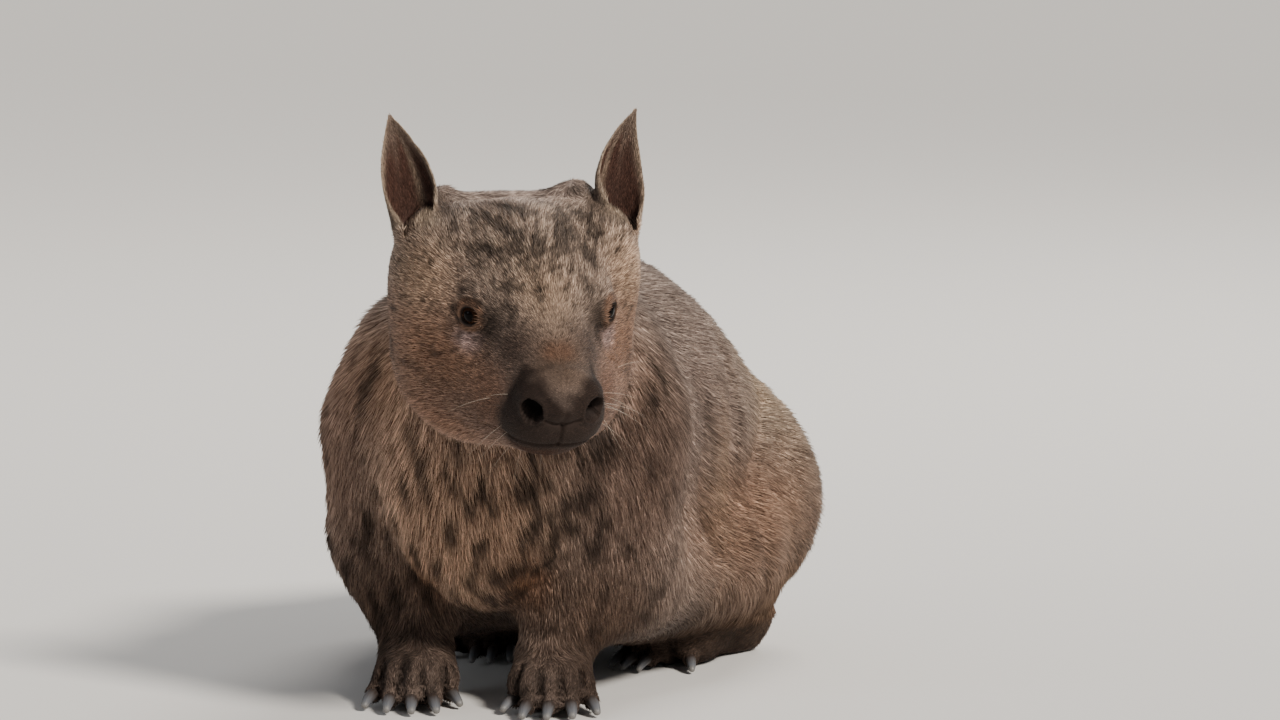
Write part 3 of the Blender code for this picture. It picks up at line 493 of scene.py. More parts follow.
def hide(points, nostrils=True):
    """Distance to the skin's surface, less than 0 inside; the soles are flat."""
    distance = flesh(points) + detail(points)
    local = in_head(points)
    cut = -hollows(local)
    if not nostrils:
        cut = np.where(local[:, 1] < -0.090, -1.0, cut)
    mix = np.maximum(0.0012 - np.abs(distance - cut), 0) / 0.0012
    distance = np.maximum(distance, cut) + mix * mix * 0.0012 / 4
    return np.maximum(distance, SOLE_HEIGHT - points[:, 2])


def mesh_points(mesh, layer="co"):
    values = np.empty(len(mesh.vertices) * 3, np.float32)
    mesh.vertices.foreach_get(layer, values)
    return values.reshape(-1, 3).astype(float)


def drawn_onto(mesh, field, rounds, reach=0.008):
    """Moves each vertex onto the surface where the field is 0."""
    points = mesh_points(mesh)
    for _ in range(rounds):
        distance, probe = field(points), 3e-4
        slope = np.stack([(field(points + probe * axis) - distance) / probe for axis in np.eye(3)], 1)
        move = slope * (distance / np.maximum((slope**2).sum(1), 0.05))[:, None]
        length = np.linalg.norm(move, axis=1)
        points -= move * np.minimum(1, reach / np.maximum(length, 1e-9))[:, None]
    mesh.vertices.foreach_set("co", points.astype(np.float32).ravel())
    mesh.update()


def closed_hide(points):
    return hide(points, False)


def open_nostrils(mesh):
    """Sets the skin within each nostril's rim back onto the inner wall of its hollow."""
    points = mesh_points(mesh)
    for side in (1, -1):
        centre = on_side(side, NOSTRIL_PLACE)
        scaled = (in_head(points) - centre) @ nostril_turn(side) / NOSTRIL_RADII
        across = scaled[:, 0] ** 2 + scaled[:, 2] ** 2
        within = (across < 0.98) & (np.abs(scaled[:, 1]) < 1.3)
        scaled[within, 1] = np.sqrt(1 - across[within])
        points[within] = from_head((scaled[within] * NOSTRIL_RADII) @ nostril_turn(side).T + centre)
    mesh.vertices.foreach_set("co", points.astype(np.float32).ravel())
    mesh.update()


def applied(obj):
    """Turns an object's modifiers into its mesh."""
    graph = bpy.context.evaluated_depsgraph_get()
    mesh = bpy.data.meshes.new_from_object(obj.evaluated_get(graph), preserve_all_data_layers=True, depsgraph=graph)
    obj.modifiers.clear()
    obj.data = mesh
    return obj


def finer_where(mesh, wanted):
    """Splits the faces whose middle is in the wanted part, and relaxes nothing else."""
    shape = bmesh.new()
    shape.from_mesh(mesh)
    shape.faces.ensure_lookup_table()
    middles = np.array([face.calc_center_median() for face in shape.faces])
    chosen = wanted(middles)
    edges = {edge for face, inside in zip(shape.faces, chosen) if inside for edge in face.edges}
    bmesh.ops.subdivide_edges(shape, edges=list(edges), cuts=1, use_grid_fill=True, smooth=0)
    bmesh.ops.triangulate(shape, faces=[face for face in shape.faces if len(face.verts) > 4])
    shape.to_mesh(mesh)
    shape.free()
    mesh.update()


def only_largest(shape):
    """Keeps only the largest closed surface of a bmesh."""
    seen, shells = set(), []
    for start in shape.verts:
        if start in seen:
            continue
        shell, stack = set(), [start]
        while stack:
            vert = stack.pop()
            if vert not in shell:
                shell.add(vert)
                stack.extend(edge.other_vert(vert) for edge in vert.link_edges)
        seen |= shell
        shells.append(shell)
    shells.sort(key=len)
    bmesh.ops.delete(shape, geom=[vert for shell in shells[:-1] for vert in shell], context="VERTS")


def near_features(middles):
    """The lids, nostrils, lips and brow, which need the finest mesh."""
    local = in_head(middles)
    eyes = np.min([np.linalg.norm(local - on_side(side, EYE_PLACE), axis=1) for side in (1, -1)], axis=0)
    return (eyes < 0.021) | ((local[:, 1] < -0.082) & (local[:, 2] < 0.012) & (head_share(middles) > 0.5))


shape = bmesh.new()
for name in FLESH_NODES:
    shape.from_mesh(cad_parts[name].data)
for side in (1, -1):
    bmesh.ops.create_icosphere(shape, subdivisions=3, radius=EYE_RADIUS + 0.001,
                               matrix=Matrix.Translation(from_head([on_side(side, EYE_PLACE)])[0]))
skin_mesh = bpy.data.meshes.new("skin")
shape.to_mesh(skin_mesh)
shape.free()
skin = linked("skin", skin_mesh)
for voxel in (0.006, SKIN_VOXEL):
    modifier = skin.modifiers.new("even", "REMESH")
    modifier.mode, modifier.voxel_size = "VOXEL", voxel
    applied(skin)
    shape = bmesh.new()
    shape.from_mesh(skin.data)
    only_largest(shape)
    shape.to_mesh(skin.data)
    shape.free()
    drawn_onto(skin.data, closed_hide, 4)
finer_where(skin.data, lambda middles: (head_share(middles) > 0.35) | (paw_share(middles) > 0.4))
drawn_onto(skin.data, closed_hide, 2)
finer_where(skin.data, near_features)
drawn_onto(skin.data, closed_hide, 2, 0.0015)
open_nostrils(skin.data)
drawn_onto(skin.data, hide, 2, 0.0010)


# The ears: upright cups of thin gristle with pointed tips that bend outward, tubular at the root where they
# grow out of the head. They are skin like the rest, so each is joined to it and smoothed in at its root.
EAR_ROOT, EAR_LEAN, EAR_FACING = np.array((0.0705, 0.022, 0.032)), (0.02, 0.43, 0.88), 15.0
EAR_HEIGHT, EAR_BEND, EAR_THICKNESS, EAR_RIB = 0.096, 0.015, 0.0022, 0.0009
# Share of the height, half width and degrees of wrap
EAR_STATIONS = (
    (0.00, 0.0140, 158.0), (0.20, 0.0158, 150.0), (0.34, 0.0172, 120.0), (0.50, 0.0182, 88.0), (0.66, 0.0160, 71.0),
    (0.82, 0.0100, 58.0), (0.93, 0.0048, 50.0), (1.00, 0.0012, 46.0),
)
EAR_ROWS, EAR_COLUMNS = 34, 22
NOTCH_UP, NOTCH_DEPTH = 0.80, 0.0035


def ear_point(side, up, across, inward):
    """A point of the ear's sheet, in the head's frame; across runs from -1 to 1 round the cup."""
    shares, widths, wraps = np.array(EAR_STATIONS).T
    half_width = float(smooth_curve(np.array([up]), shares, widths)[0])
    wrap = math.radians(float(smooth_curve(np.array([up]), shares, wraps)[0]))
    radius = half_width / math.sin(min(wrap, math.pi / 2)) - inward
    axis = unit(on_side(side, EAR_LEAN))
    out = math.radians(EAR_FACING)
    facing = np.array((side * math.sin(out), -math.cos(out), 0))
    facing = unit(facing - axis * (facing @ axis))
    angle = across * wrap
    middle = on_side(side, EAR_ROOT) + axis * EAR_HEIGHT * up + np.array((side, 0, 0)) * EAR_BEND * up**2
    return middle + radius * (np.cross(axis, facing) * math.sin(angle) - facing * math.cos(angle))


def ear_cup(side):
    """A closed cup between an outer and an inner sheet, with ribs inside and small nicks in the outer rim."""
    shape = bmesh.new()
    layers = []
    for layer in (0, 1):
        rows = []
        for row in range(EAR_ROWS + 1):
            up = (row / EAR_ROWS) * 1.16 - 0.16
            line = []
            for column in range(EAR_COLUMNS + 1):
                across = column / EAR_COLUMNS * 2 - 1
                outer_rim = -side * across
                nick = NOTCH_DEPTH * math.exp(-(((up - NOTCH_UP) / 0.020) ** 2)) * max(0, outer_rim - 0.5)
                thickness = EAR_THICKNESS * (1 - 0.5 * abs(across) ** 3) * (1 - 0.62 * max(up, 0) ** 2)
                rib = EAR_RIB * math.cos(across * 11) * max(0, 1 - abs(across) * 1.1) * (1 - max(up, 0)) * layer
                point = ear_point(side, max(up, 0), across * (1 - nick / 0.018), layer * thickness + rib)
                point = point + unit(on_side(side, EAR_LEAN)) * EAR_HEIGHT * min(up, 0)
                line.append(shape.verts.new(from_head([point])[0]))
            rows.append(line)
        layers.append(rows)
    outer, inner = layers
    for row in range(EAR_ROWS):
        for column in range(EAR_COLUMNS):
            for grid in layers:
                low, high = grid[row], grid[row + 1]
                shape.faces.new((low[column], low[column + 1], high[column + 1], high[column]))
        for column in (0, EAR_COLUMNS):
            shape.faces.new((outer[row][column], outer[row + 1][column], inner[row + 1][column], inner[row][column]))
    for column in range(EAR_COLUMNS):
        for row in (0, EAR_ROWS):
            shape.faces.new((outer[row][column], outer[row][column + 1], inner[row][column + 1], inner[row][column]))
    bmesh.ops.triangulate(shape, faces=shape.faces[:])
    bmesh.ops.recalc_face_normals(shape, faces=shape.faces[:])
    return shape


def ear_place(points):
    """Each place's share of the ears, height up the ear, way round the cup from rim to rim, and 1 inside the cup."""
    local = in_head(points)
    height, round_cup, inside = np.full(len(points), -9.0), np.zeros(len(points)), np.zeros(len(points))
    shares, widths, wraps = np.array(EAR_STATIONS).T
    for side in (1, -1):
        axis, out = unit(on_side(side, EAR_LEAN)), math.radians(EAR_FACING)
        facing = np.array((side * math.sin(out), -math.cos(out), 0))
        facing = unit(facing - axis * (facing @ axis))
        away = local - on_side(side, EAR_ROOT)
        up = away @ axis / EAR_HEIGHT
        off = away - (up * EAR_HEIGHT)[:, None] * axis - np.array((side, 0, 0)) * (EAR_BEND * up**2)[:, None]
        wrap = np.radians(smooth_curve(np.clip(up, 0, 1), shares, wraps))
        radius = smooth_curve(np.clip(up, 0, 1), shares, widths) / np.sin(np.minimum(wrap, math.pi / 2))
        far = np.hypot(off @ np.cross(axis, facing), off @ facing)
        here = np.abs(far - radius) < 0.009
        height = np.where(here, np.maximum(height, up), height)
        angle = np.arctan2(off @ np.cross(axis, facing), -(off @ facing))
        round_cup = np.where(here, -side * angle / wrap, round_cup)
        inside = np.where(here, step_up(radius - far, EAR_THICKNESS * 0.35, EAR_THICKNESS * 0.75), inside)
    return step_up(height, 0.12, 0.24), np.clip(height, 0, 1), round_cup, inside


def ear_share(points):
    return ear_place(points)[0]


cups = []
for side in (1, -1):
    cup_mesh = bpy.data.meshes.new("cup")
    cup = ear_cup(side)
    cup.to_mesh(cup_mesh)
    cup.free()
    cups.append(linked("cup", cup_mesh))
    modifier = skin.modifiers.new("join", "BOOLEAN")
    modifier.object, modifier.operation, modifier.solver = cups[-1], "UNION", "MANIFOLD"
applied(skin)
for cup in cups:
    bpy.data.objects.remove(cup)
shape = bmesh.new()
shape.from_mesh(skin.data)
only_largest(shape)
bmesh.ops.remove_doubles(shape, verts=shape.verts, dist=0.00015)
root_verts = []
places = np.array([vert.co for vert in shape.verts])
local = in_head(places)
for side in (1, -1):
    axis = unit(on_side(side, EAR_LEAN))
    away = local - on_side(side, EAR_ROOT)
    up = away @ axis
    near = (np.linalg.norm(away - up[:, None] * axis, axis=1) < 0.030) & (up > -0.02) & (up < 0.075)
    at_join = near & (np.abs(melted(head_masses, local) + 0.004) < 0.0055)
    root_verts.extend(np.where(at_join)[0])
shape.verts.ensure_lookup_table()
chosen = [shape.verts[i] for i in root_verts]
for _ in range(8):
    bmesh.ops.smooth_vert(shape, verts=chosen, factor=0.5, use_axis_x=True, use_axis_y=True, use_axis_z=True)
bmesh.ops.triangulate(shape, faces=[face for face in shape.faces if len(face.verts) > 4])
shape.to_mesh(skin.data)
shape.free()
skin.data.update()
for face in skin.data.polygons:
    face.use_smooth = True


# The markings: grey-buff back, buff rump, rufous lower flank, tan breast with dark streaks, dark arms and
# feet, brindled crown, dark muzzle, and painted shade in the folds, toe clefts and nostrils and low under the
# belly. Skin and coat take them from the same places, so they always agree.
BACK_TONE = (0.360, 0.290, 0.255)
DARK_TONE = (0.030, 0.022, 0.018)
# Places on the body, then on the head: middle, reach, colour and strength; x is taken on both sides
BODY_SPOTS = (
    ((0.110, 0.130, 0.180), (0.070, 0.110, 0.085), (0.470, 0.370, 0.325), 0.90),
    ((0.060, 0.330, 0.210), (0.120, 0.110, 0.090), (0.600, 0.465, 0.340), 0.95),
    ((0.110, 0.230, 0.110), (0.060, 0.120, 0.050), (0.480, 0.300, 0.205), 0.85),
    # Near black low on the belly and between the legs: partly dark belly fur, partly painted shade under the body
    ((0.050, 0.190, 0.022), (0.150, 0.220, 0.036), (0.060, 0.040, 0.030), 0.94),
    ((0.000, -0.040, 0.150), (0.075, 0.060, 0.085), (0.600, 0.410, 0.300), 0.92),
    ((0.030, 0.000, 0.235), (0.090, 0.060, 0.045), (0.400, 0.240, 0.150), 0.80),
    ((0.105, 0.020, 0.180), (0.050, 0.075, 0.080), (0.250, 0.165, 0.130), 0.80),
    ((0.130, 0.165, 0.150), (0.050, 0.017, 0.060), (0.520, 0.370, 0.270), 0.70),
    ((0.034, 0.000, 0.098), (0.017, 0.045, 0.026), (0.360, 0.165, 0.075), 0.75),
    ((0.000, -0.040, 0.105), (0.013, 0.050, 0.045), (0.600, 0.420, 0.310), 0.80),
    ((0.070, 0.030, 0.070), (0.055, 0.060, 0.055), (0.168, 0.108, 0.079), 0.85),
    ((0.100, 0.290, 0.060), (0.060, 0.090, 0.050), (0.279, 0.169, 0.102), 0.80),
    ((0.060, 0.020, 0.020), (0.075, 0.085, 0.034), (0.085, 0.058, 0.045), 0.98),
    ((0.080, 0.250, 0.006), (0.070, 0.100, 0.036), (0.058, 0.039, 0.030), 0.98),
)
HEAD_SPOTS = (
    ((0.000, 0.000, 0.055), (0.090, 0.090, 0.050), (0.515, 0.395, 0.312), 0.95),
    ((0.062, 0.000, -0.020), (0.040, 0.070, 0.050), (0.361, 0.209, 0.134), 0.90),
    ((0.045, -0.045, -0.020), (0.030, 0.040, 0.025), (0.295, 0.168, 0.109), 0.80),
    ((0.045, -0.030, -0.065), (0.045, 0.060, 0.022), (0.450, 0.262, 0.180), 0.85),
    ((0.000, -0.060, 0.035), (0.022, 0.045, 0.025), (0.477, 0.343, 0.242), 0.70),
    ((0.000, -0.106, 0.008), (0.034, 0.030, 0.025), (0.130, 0.088, 0.064), 0.97),
    ((0.004, -0.092, 0.012), (0.008, 0.009, 0.008), (0.240, 0.110, 0.058), 0.55),
    ((0.034, -0.050, 0.014), (0.016, 0.018, 0.020), (0.026, 0.018, 0.014), 0.96),
    ((0.050, -0.048, 0.001), (0.011, 0.011, 0.008), (0.600, 0.440, 0.410), 0.95),
    ((0.014, -0.075, 0.012), (0.016, 0.020, 0.016), (0.110, 0.072, 0.056), 0.75),
    ((0.072, 0.000, 0.030), (0.020, 0.040, 0.026), (0.478, 0.336, 0.234), 0.75),
    ((0.036, -0.080, -0.028), (0.020, 0.022, 0.028), (0.190, 0.105, 0.072), 0.90),
    ((0.024, -0.078, 0.006), (0.012, 0.016, 0.016), (0.070, 0.046, 0.036), 0.85),
)
# How many of the hairs are dark: middle, reach and share, on the body and on the head
BODY_BRINDLE = (
    ((0.000, -0.030, 0.150), (0.090, 0.060, 0.095), 0.50), ((0.050, 0.030, 0.250), (0.10, 0.09, 0.06), 0.36),
    ((0.110, 0.230, 0.160), (0.07, 0.15, 0.12), 0.10), ((0.080, 0.030, 0.070), (0.06, 0.06, 0.05), 0.38),
)
HEAD_BRINDLE = (
    ((0.000, -0.010, 0.060), (0.080, 0.075, 0.045), 0.56), ((0.060, -0.015, -0.035), (0.050, 0.080, 0.060), 0.05),
    ((0.030, -0.005, 0.048), (0.018, 0.040, 0.025), 0.64), ((0.000, -0.100, -0.020), (0.045, 0.045, 0.040), 0.10),
)
BACK_BRINDLE = 0.16
# The nostril colour is near black: partly the dark lining, partly painted shade deep in the hollow
LID_TONE, RIM_TONE, NOSTRIL_LINING_AND_SHADE = np.array(((0.210, 0.125, 0.085), (0.016, 0.010, 0.008), (0.004, 0.002, 0.002)))
MUZZLE_TONE, CHIN_TONE = np.array(((0.017, 0.008, 0.005), (0.130, 0.055, 0.033)))
EAR_DARK, EAR_PALE, EAR_BACK = np.array(((0.088, 0.045, 0.034), (0.480, 0.380, 0.290), (0.210, 0.160, 0.130)))


def spot_share(places, middle, reach):
    away = (np.stack([np.abs(places[:, 0]), places[:, 1], places[:, 2]], 1) - middle) / reach
    return np.exp(-((away**2).sum(1) ** 1.4))


def coat_tone(points):
    place, local, head = points - SEAT - (TRUNK_MIDDLE_X, 0, 0), in_head(points), head_share(points)
    tones = []
    for spots, places in ((BODY_SPOTS, place), (HEAD_SPOTS, local)):
        tone = np.tile(np.array(BACK_TONE), (len(points), 1))
        for middle, reach, colour, strength in spots:
            tone += (colour - tone) * (strength * spot_share(places, middle, reach))[:, None]
        tones.append(tone)
    tone = tones[0] + (tones[1] - tones[0]) * head[:, None]
    edge = local[:, 1] + 0.10 * np.abs(local[:, 0]) + 0.0035 * waves(local, 0.010, 12)
    over = local[:, 2] + 0.003 * waves(local, 0.008, 13) + 0.016 * np.exp(-((local[:, 0] / 0.014) ** 2))
    muzzle = step_up(edge, -0.080, -0.096) * step_up(over, 0.014, 0.000) * head
    chin = 0.35 * step_up(local[:, 2], -0.046, -0.056)
    tone += (MUZZLE_TONE + (CHIN_TONE - MUZZLE_TONE) * chin[:, None] - tone) * (0.94 * muzzle)[:, None]
    ear, up, across, inside = ear_place(points)
    strand = 0.7 * np.exp(-(((across - 0.25) / 0.10) ** 2)) * step_up(up, 0.2, 0.5)
    rim = np.maximum(step_up(np.abs(across), 0.72, 0.95), strand)
    inner = EAR_DARK + (np.array(EAR_PALE) - EAR_DARK) * (rim * (0.4 + 0.6 * step_up(across, -0.5, 0.6)))[:, None]
    outer = EAR_BACK + (np.array(EAR_PALE) - EAR_BACK) * (0.8 * step_up(np.abs(across), 0.75, 1.0))[:, None]
    tone += (outer + (inner - outer) * inside[:, None] - tone) * ear[:, None]
    for side in (1, -1):
        away = local - on_side(side, EYE_PLACE)
        ahead = away @ eye_axis(side)
        ring = np.linalg.norm(away - ahead[:, None] * eye_axis(side), axis=1)
        lid = step_up(ring, 0.0135, 0.0105) * step_up(ahead, 0.0, 0.004)
        tone += (LID_TONE - tone) * lid[:, None]
        rim = step_up(ring, 0.0085, 0.0066) * step_up(ahead, 0.0, 0.004)
        tone += (RIM_TONE - tone) * rim[:, None]
    tone *= (1 + 0.13 * waves(points, 0.035, 11))[:, None]
    # Painted shade: the colour darkens with the depth of the clefts between the toes
    tone *= (1 - 110 * toe_clefts(points - SEAT))[:, None]
    # Painted shade: the colour darkens with the depth of the folds on the flanks and haunches
    tone *= (1 - 62 * np.clip(body_lines(points - SEAT), 0, 0.0075) * (1 - head))[:, None]
    # Inside the nostrils the colour goes near black: partly the dark lining, partly painted shade in the hollows
    inside = step_up(hollows(local), 0.0012, -0.0004) * step_up(local[:, 1], -0.095, -0.105)
    return tone + (NOSTRIL_LINING_AND_SHADE - tone) * inside[:, None]


def brindle_mark(points):
    """How dark each place is marked, in streaks that run with the coat."""
    place, local, head = points - SEAT - (TRUNK_MIDDLE_X, 0, 0), in_head(points), head_share(points)
    shares = []
    for spots, places in ((BODY_BRINDLE, place), (HEAD_BRINDLE, local)):
        share = np.full(len(points), BACK_BRINDLE)
        for middle, reach, wanted in spots:
            share += (wanted - share) * spot_share(places, middle, reach)
        shares.append(share)
    share = shares[0] + (shares[1] - shares[0]) * head
    streaks = 0.75 * waves(local * (1, 0.30, 0.8), 0.0018, 21) + 0.6 * waves(local * (1, 0.35, 0.7), 0.0042, 22)
    streaks += 0.5 * waves(local, 0.0110, 25)
    bands = 0.70 * waves(place * (1, 0.5, 0.36), 0.0030, 23) + 0.80 * waves(place * (1, 0.6, 0.42), 0.0070, 24)
    bands += 0.35 * waves(place * (1, 0.8, 0.8), 0.0200, 26)
    noise = (bands + (streaks - bands) * head) / 0.60
    dark_from = (0.5 - share) * 2.8
    plain = step_up(local[:, 1] + 0.5 * local[:, 2], -0.045, -0.075) * head
    breast = spot_share(place, (0.0, -0.030, 0.160), (0.110, 0.070, 0.110)) * (1 - head)
    soft = step_up(noise - dark_from, -1.0, 1.5)
    soft += (step_up(noise - dark_from, -0.35, 0.75) - soft) * breast
    soft *= 1 - 0.62 * (1 - head) * (1 - breast) * step_up(place[:, 1], 0.02, 0.10)
    return soft * (1 - 0.7 * ear_share(points)) * (1 - 0.8 * plain)


def group_socket(tree, name, kind, way="INPUT", value=None):
    made = tree.interface.new_socket(name=name, in_out=way, socket_type=kind)
    if value is not None:
        made.default_value = value
    return made.identifier


def socket_of(sockets, key):
    """A node's socket by its number or, among those in use, its name."""
    return sockets[key] if isinstance(key, int) else next(s for s in sockets if s.name == key and s.enabled)


def wired(tree, kind, *wires, **settings):
    """A new node, its settings and the links or values of its inputs, given as pairs."""
    node = tree.nodes.new(kind)
    for name, value in settings.items():
        setattr(node, name, value)
    for key, source in wires:
        target = socket_of(node.inputs, key)
        if isinstance(source, bpy.types.NodeSocket):
            tree.links.new(source, target)
        else:
            target.default_value = source
    return node


def out_of(node, name=0):
    return socket_of(node.outputs, name)


# Hair colour along its length and from hair to hair: darker towards the root, partly the hair's own dark base and
# partly painted shade of the coat lying over it, paler towards the tip, and some dark and some pale hairs
hair_colour = bpy.data.node_groups.new("hair colour", "ShaderNodeTree")
group_socket(hair_colour, "Tone", "NodeSocketColor", value=(0.3, 0.25, 0.2, 1))
group_socket(hair_colour, "Mark", "NodeSocketFloat", value=0.0)
group_socket(hair_colour, "Shade", "NodeSocketFloat", value=0.5)
group_socket(hair_colour, "Rise", "NodeSocketFloat", value=0.4)
group_socket(hair_colour, "Dark", "NodeSocketColor", value=(*DARK_TONE, 1))
group_socket(hair_colour, "Colour", "NodeSocketColor", "OUTPUT")
given = hair_colour.nodes.new("NodeGroupInput")
marked = wired(hair_colour, "ShaderNodeMix", ("Factor", out_of(wired(
    hair_colour, "ShaderNodeMath", (0, given.outputs["Mark"]), (1, 0.82), operation="MULTIPLY"))),
    (6, given.outputs["Tone"]), (7, given.outputs["Dark"]), data_type="RGBA")
ramp = wired(hair_colour, "ShaderNodeValToRGB", ("Fac", given.outputs["Shade"]))
ramp.color_ramp.elements[0].position, ramp.color_ramp.elements[0].color = 0.0, (0.38, 0.34, 0.32, 1)
ramp.color_ramp.elements[1].position, ramp.color_ramp.elements[1].color = 1.0, (1.90, 1.85, 1.78, 1)
for position, colour in ((0.24, (0.66, 0.63, 0.61, 1)), (0.64, (1.05, 1.03, 1.01, 1)), (0.88, (1.45, 1.42, 1.37, 1))):
    ramp.color_ramp.elements.new(position).color = colour
shaded = wired(hair_colour, "ShaderNodeMix", ("Factor", 1.0), (6, out_of(marked, 2)), (7, out_of(ramp)),
               data_type="RGBA", blend_type="MULTIPLY")
# Darker towards the root: partly the hair's dark base, partly painted shade under the coat
along = wired(hair_colour, "ShaderNodeValToRGB", ("Fac", given.outputs["Rise"]))
along.color_ramp.elements[0].position, along.color_ramp.elements[0].color = 0.0, (0.42, 0.38, 0.36, 1)
along.color_ramp.elements[1].position, along.color_ramp.elements[1].color = 1.0, (1.30, 1.30, 1.30, 1)
along.color_ramp.elements.new(0.45).color = (0.95, 0.94, 0.93, 1)
toned = wired(hair_colour, "ShaderNodeMix", ("Factor", 1.0), (6, out_of(shaded, 2)), (7, out_of(along)),
              data_type="RGBA", blend_type="MULTIPLY")
wired(hair_colour, "NodeGroupOutput", ("Colour", out_of(toned, 2)))


def coat_material(name, roughness, is_skin=False):
    material = bpy.data.materials.new(name)
    material.use_nodes = True
    tree, shader = material.node_tree, material.node_tree.nodes["Principled BSDF"]
    tone = wired(tree, "ShaderNodeAttribute", attribute_name="tone")
    mark = wired(tree, "ShaderNodeAttribute", attribute_name="mark")
    colour = wired(tree, "ShaderNodeGroup", node_tree=hair_colour)
    tree.links.new(tone.outputs["Color"], colour.inputs["Tone"])
    tree.links.new(mark.outputs["Fac"], colour.inputs["Mark"])
    if is_skin:
        place = wired(tree, "ShaderNodeTexCoord")
        grain = wired(tree, "ShaderNodeTexNoise", ("Vector", place.outputs["Object"]), ("Scale", 1400.0),
                      ("Detail", 2.0))
        tree.links.new(grain.outputs["Fac"], colour.inputs["Shade"])
        bump = wired(tree, "ShaderNodeBump", ("Height", grain.outputs["Fac"]), ("Strength", 0.35),
                     ("Distance", 0.0012))
        tree.links.new(bump.outputs["Normal"], shader.inputs["Normal"])
        # The hide between the tufts takes the darker root colour: painted shade under the coat
        colour.inputs["Rise"].default_value = 0.25
    else:
        for key in ("Shade", "Rise"):
            source = wired(tree, "ShaderNodeAttribute", attribute_name=key.lower())
            tree.links.new(source.outputs["Fac"], colour.inputs[key])
    tree.links.new(colour.outputs["Colour"], shader.inputs["Base Color"])
    shader.inputs["Roughness"].default_value = roughness
    shader.inputs["Specular IOR Level"].default_value = 0.17
    return material


def set_layer(mesh, name, kind, values, domain="POINT"):
    layer = mesh.attributes.new(name, kind, domain)
    key = {"FLOAT_COLOR": "color", "FLOAT_VECTOR": "vector", "FLOAT2": "vector"}.get(kind, "value")
    layer.data.foreach_set(key, np.ascontiguousarray(values, np.int32 if kind == "INT" else np.float32).ravel())


skin_points = mesh_points(skin.data)
skin_mark = brindle_mark(skin_points)
set_layer(skin.data, "tone", "FLOAT_COLOR", np.hstack([coat_tone(skin_points), np.ones((len(skin_points), 1))]))
set_layer(skin.data, "mark", "FLOAT", skin_mark)
skin_material = coat_material("hide", 0.72, True)
skin.data.materials.clear()
skin.data.materials.append(skin_material)


# The coat: coarse straight hair that lies flat from nose to tail and down the limbs, shortest on the face
# and feet. Each tuft is a small closed spike rooted in the skin, set by Geometry Nodes along the hide.
PATCH, STRAYING, TUFT_FLOOR, TUFT_SEED = 0.003, 0.22, 0.0004, 100
# Length of the head's hair, from the nose back
HEAD_HAIR = ((-0.115, 0.0016), (-0.090, 0.0026), (-0.060, 0.0042), (-0.020, 0.0062), (0.030, 0.0080), (0.070, 0.0115))
# How far back each stretch of the trunk's coat ends
TRUNK_ENDS = (0.065, 0.125, 0.185, 0.250, 0.310)


def hair_way(points, normals):
    """The lie of the coat: a unit vector along the skin at each place."""
    place, local, head = points - SEAT, in_head(points), head_share(points)
    side = np.sign(place[:, 0] - TRUNK_MIDDLE_X)
    way = np.tile(np.array((0.0, 1.0, -0.62)), (len(points), 1))
    front = step_up(place[:, 1], 0.12, 0.02)[:, None]
    way += front * np.stack([0.10 * side, np.full(len(points), -0.55), np.full(len(points), -0.75)], 1)
    belly = step_up(normals[:, 2], -0.3, -0.8)[:, None]
    way += (np.array((0.0, 1.0, -0.1)) - way) * belly
    arm = step_up(place[:, 2], 0.150, 0.105) * step_up(place[:, 1], 0.115, 0.095)
    arm = arm * step_up(np.abs(place[:, 0] - TRUNK_MIDDLE_X), 0.02, 0.04)
    arm_way = np.stack([0.12 * side, np.full(len(points), 0.30), np.full(len(points), -1.0)], 1)
    way += (arm_way - way) * arm[:, None]
    shank = step_up(place[:, 2], 0.085, 0.055) * step_up(place[:, 1], 0.15, 0.17)
    way += (np.array((0.0, -0.15, -1.0)) - way) * shank[:, None]
    for feet, low, high in ((PAWS, -1, 0.11), (HIND_FEET, 0.12, 9)):
        for foot_side, (x, y, turn) in feet.items():
            on = step_up(place[:, 2], 0.044, 0.026) * (place[:, 1] > low) * (place[:, 1] < high) * (side == foot_side)
            way += (heading(turn) + (0, 0, -0.35) - way) * on[:, None]
    face = np.stack([0.22 * np.sign(local[:, 0]), np.ones(len(points)), -0.30 * step_up(local[:, 2], 0.03, -0.03)], 1)
    lips = step_up(local[:, 1], -0.085, -0.105)[:, None]
    falling = np.where(local[:, 2] > -0.03, 0.2, -0.6)
    face += lips * np.stack([np.sign(local[:, 0]) * 0.9, np.zeros(len(points)), falling], 1)
    way += (face @ HEAD_MATRIX.T - way) * head[:, None]
    ear = ear_share(points)
    up_ear = np.stack([0.15 * np.sign(local[:, 0]), np.full(len(points), 0.43), np.full(len(points), 0.88)], 1)
    lean = unit(up_ear) @ HEAD_MATRIX.T
    way += (lean - way) * ear[:, None]
    curl = 0.16 * np.stack([waves(points, 0.035, seed) for seed in (31, 32, 33)], 1)
    way += curl + 0.05 * (1 - head[:, None]) * np.stack([waves(points, 0.012, seed) for seed in (34, 35, 36)], 1)
    way -= normals * (way * normals).sum(1, keepdims=True)
    return unit(way)


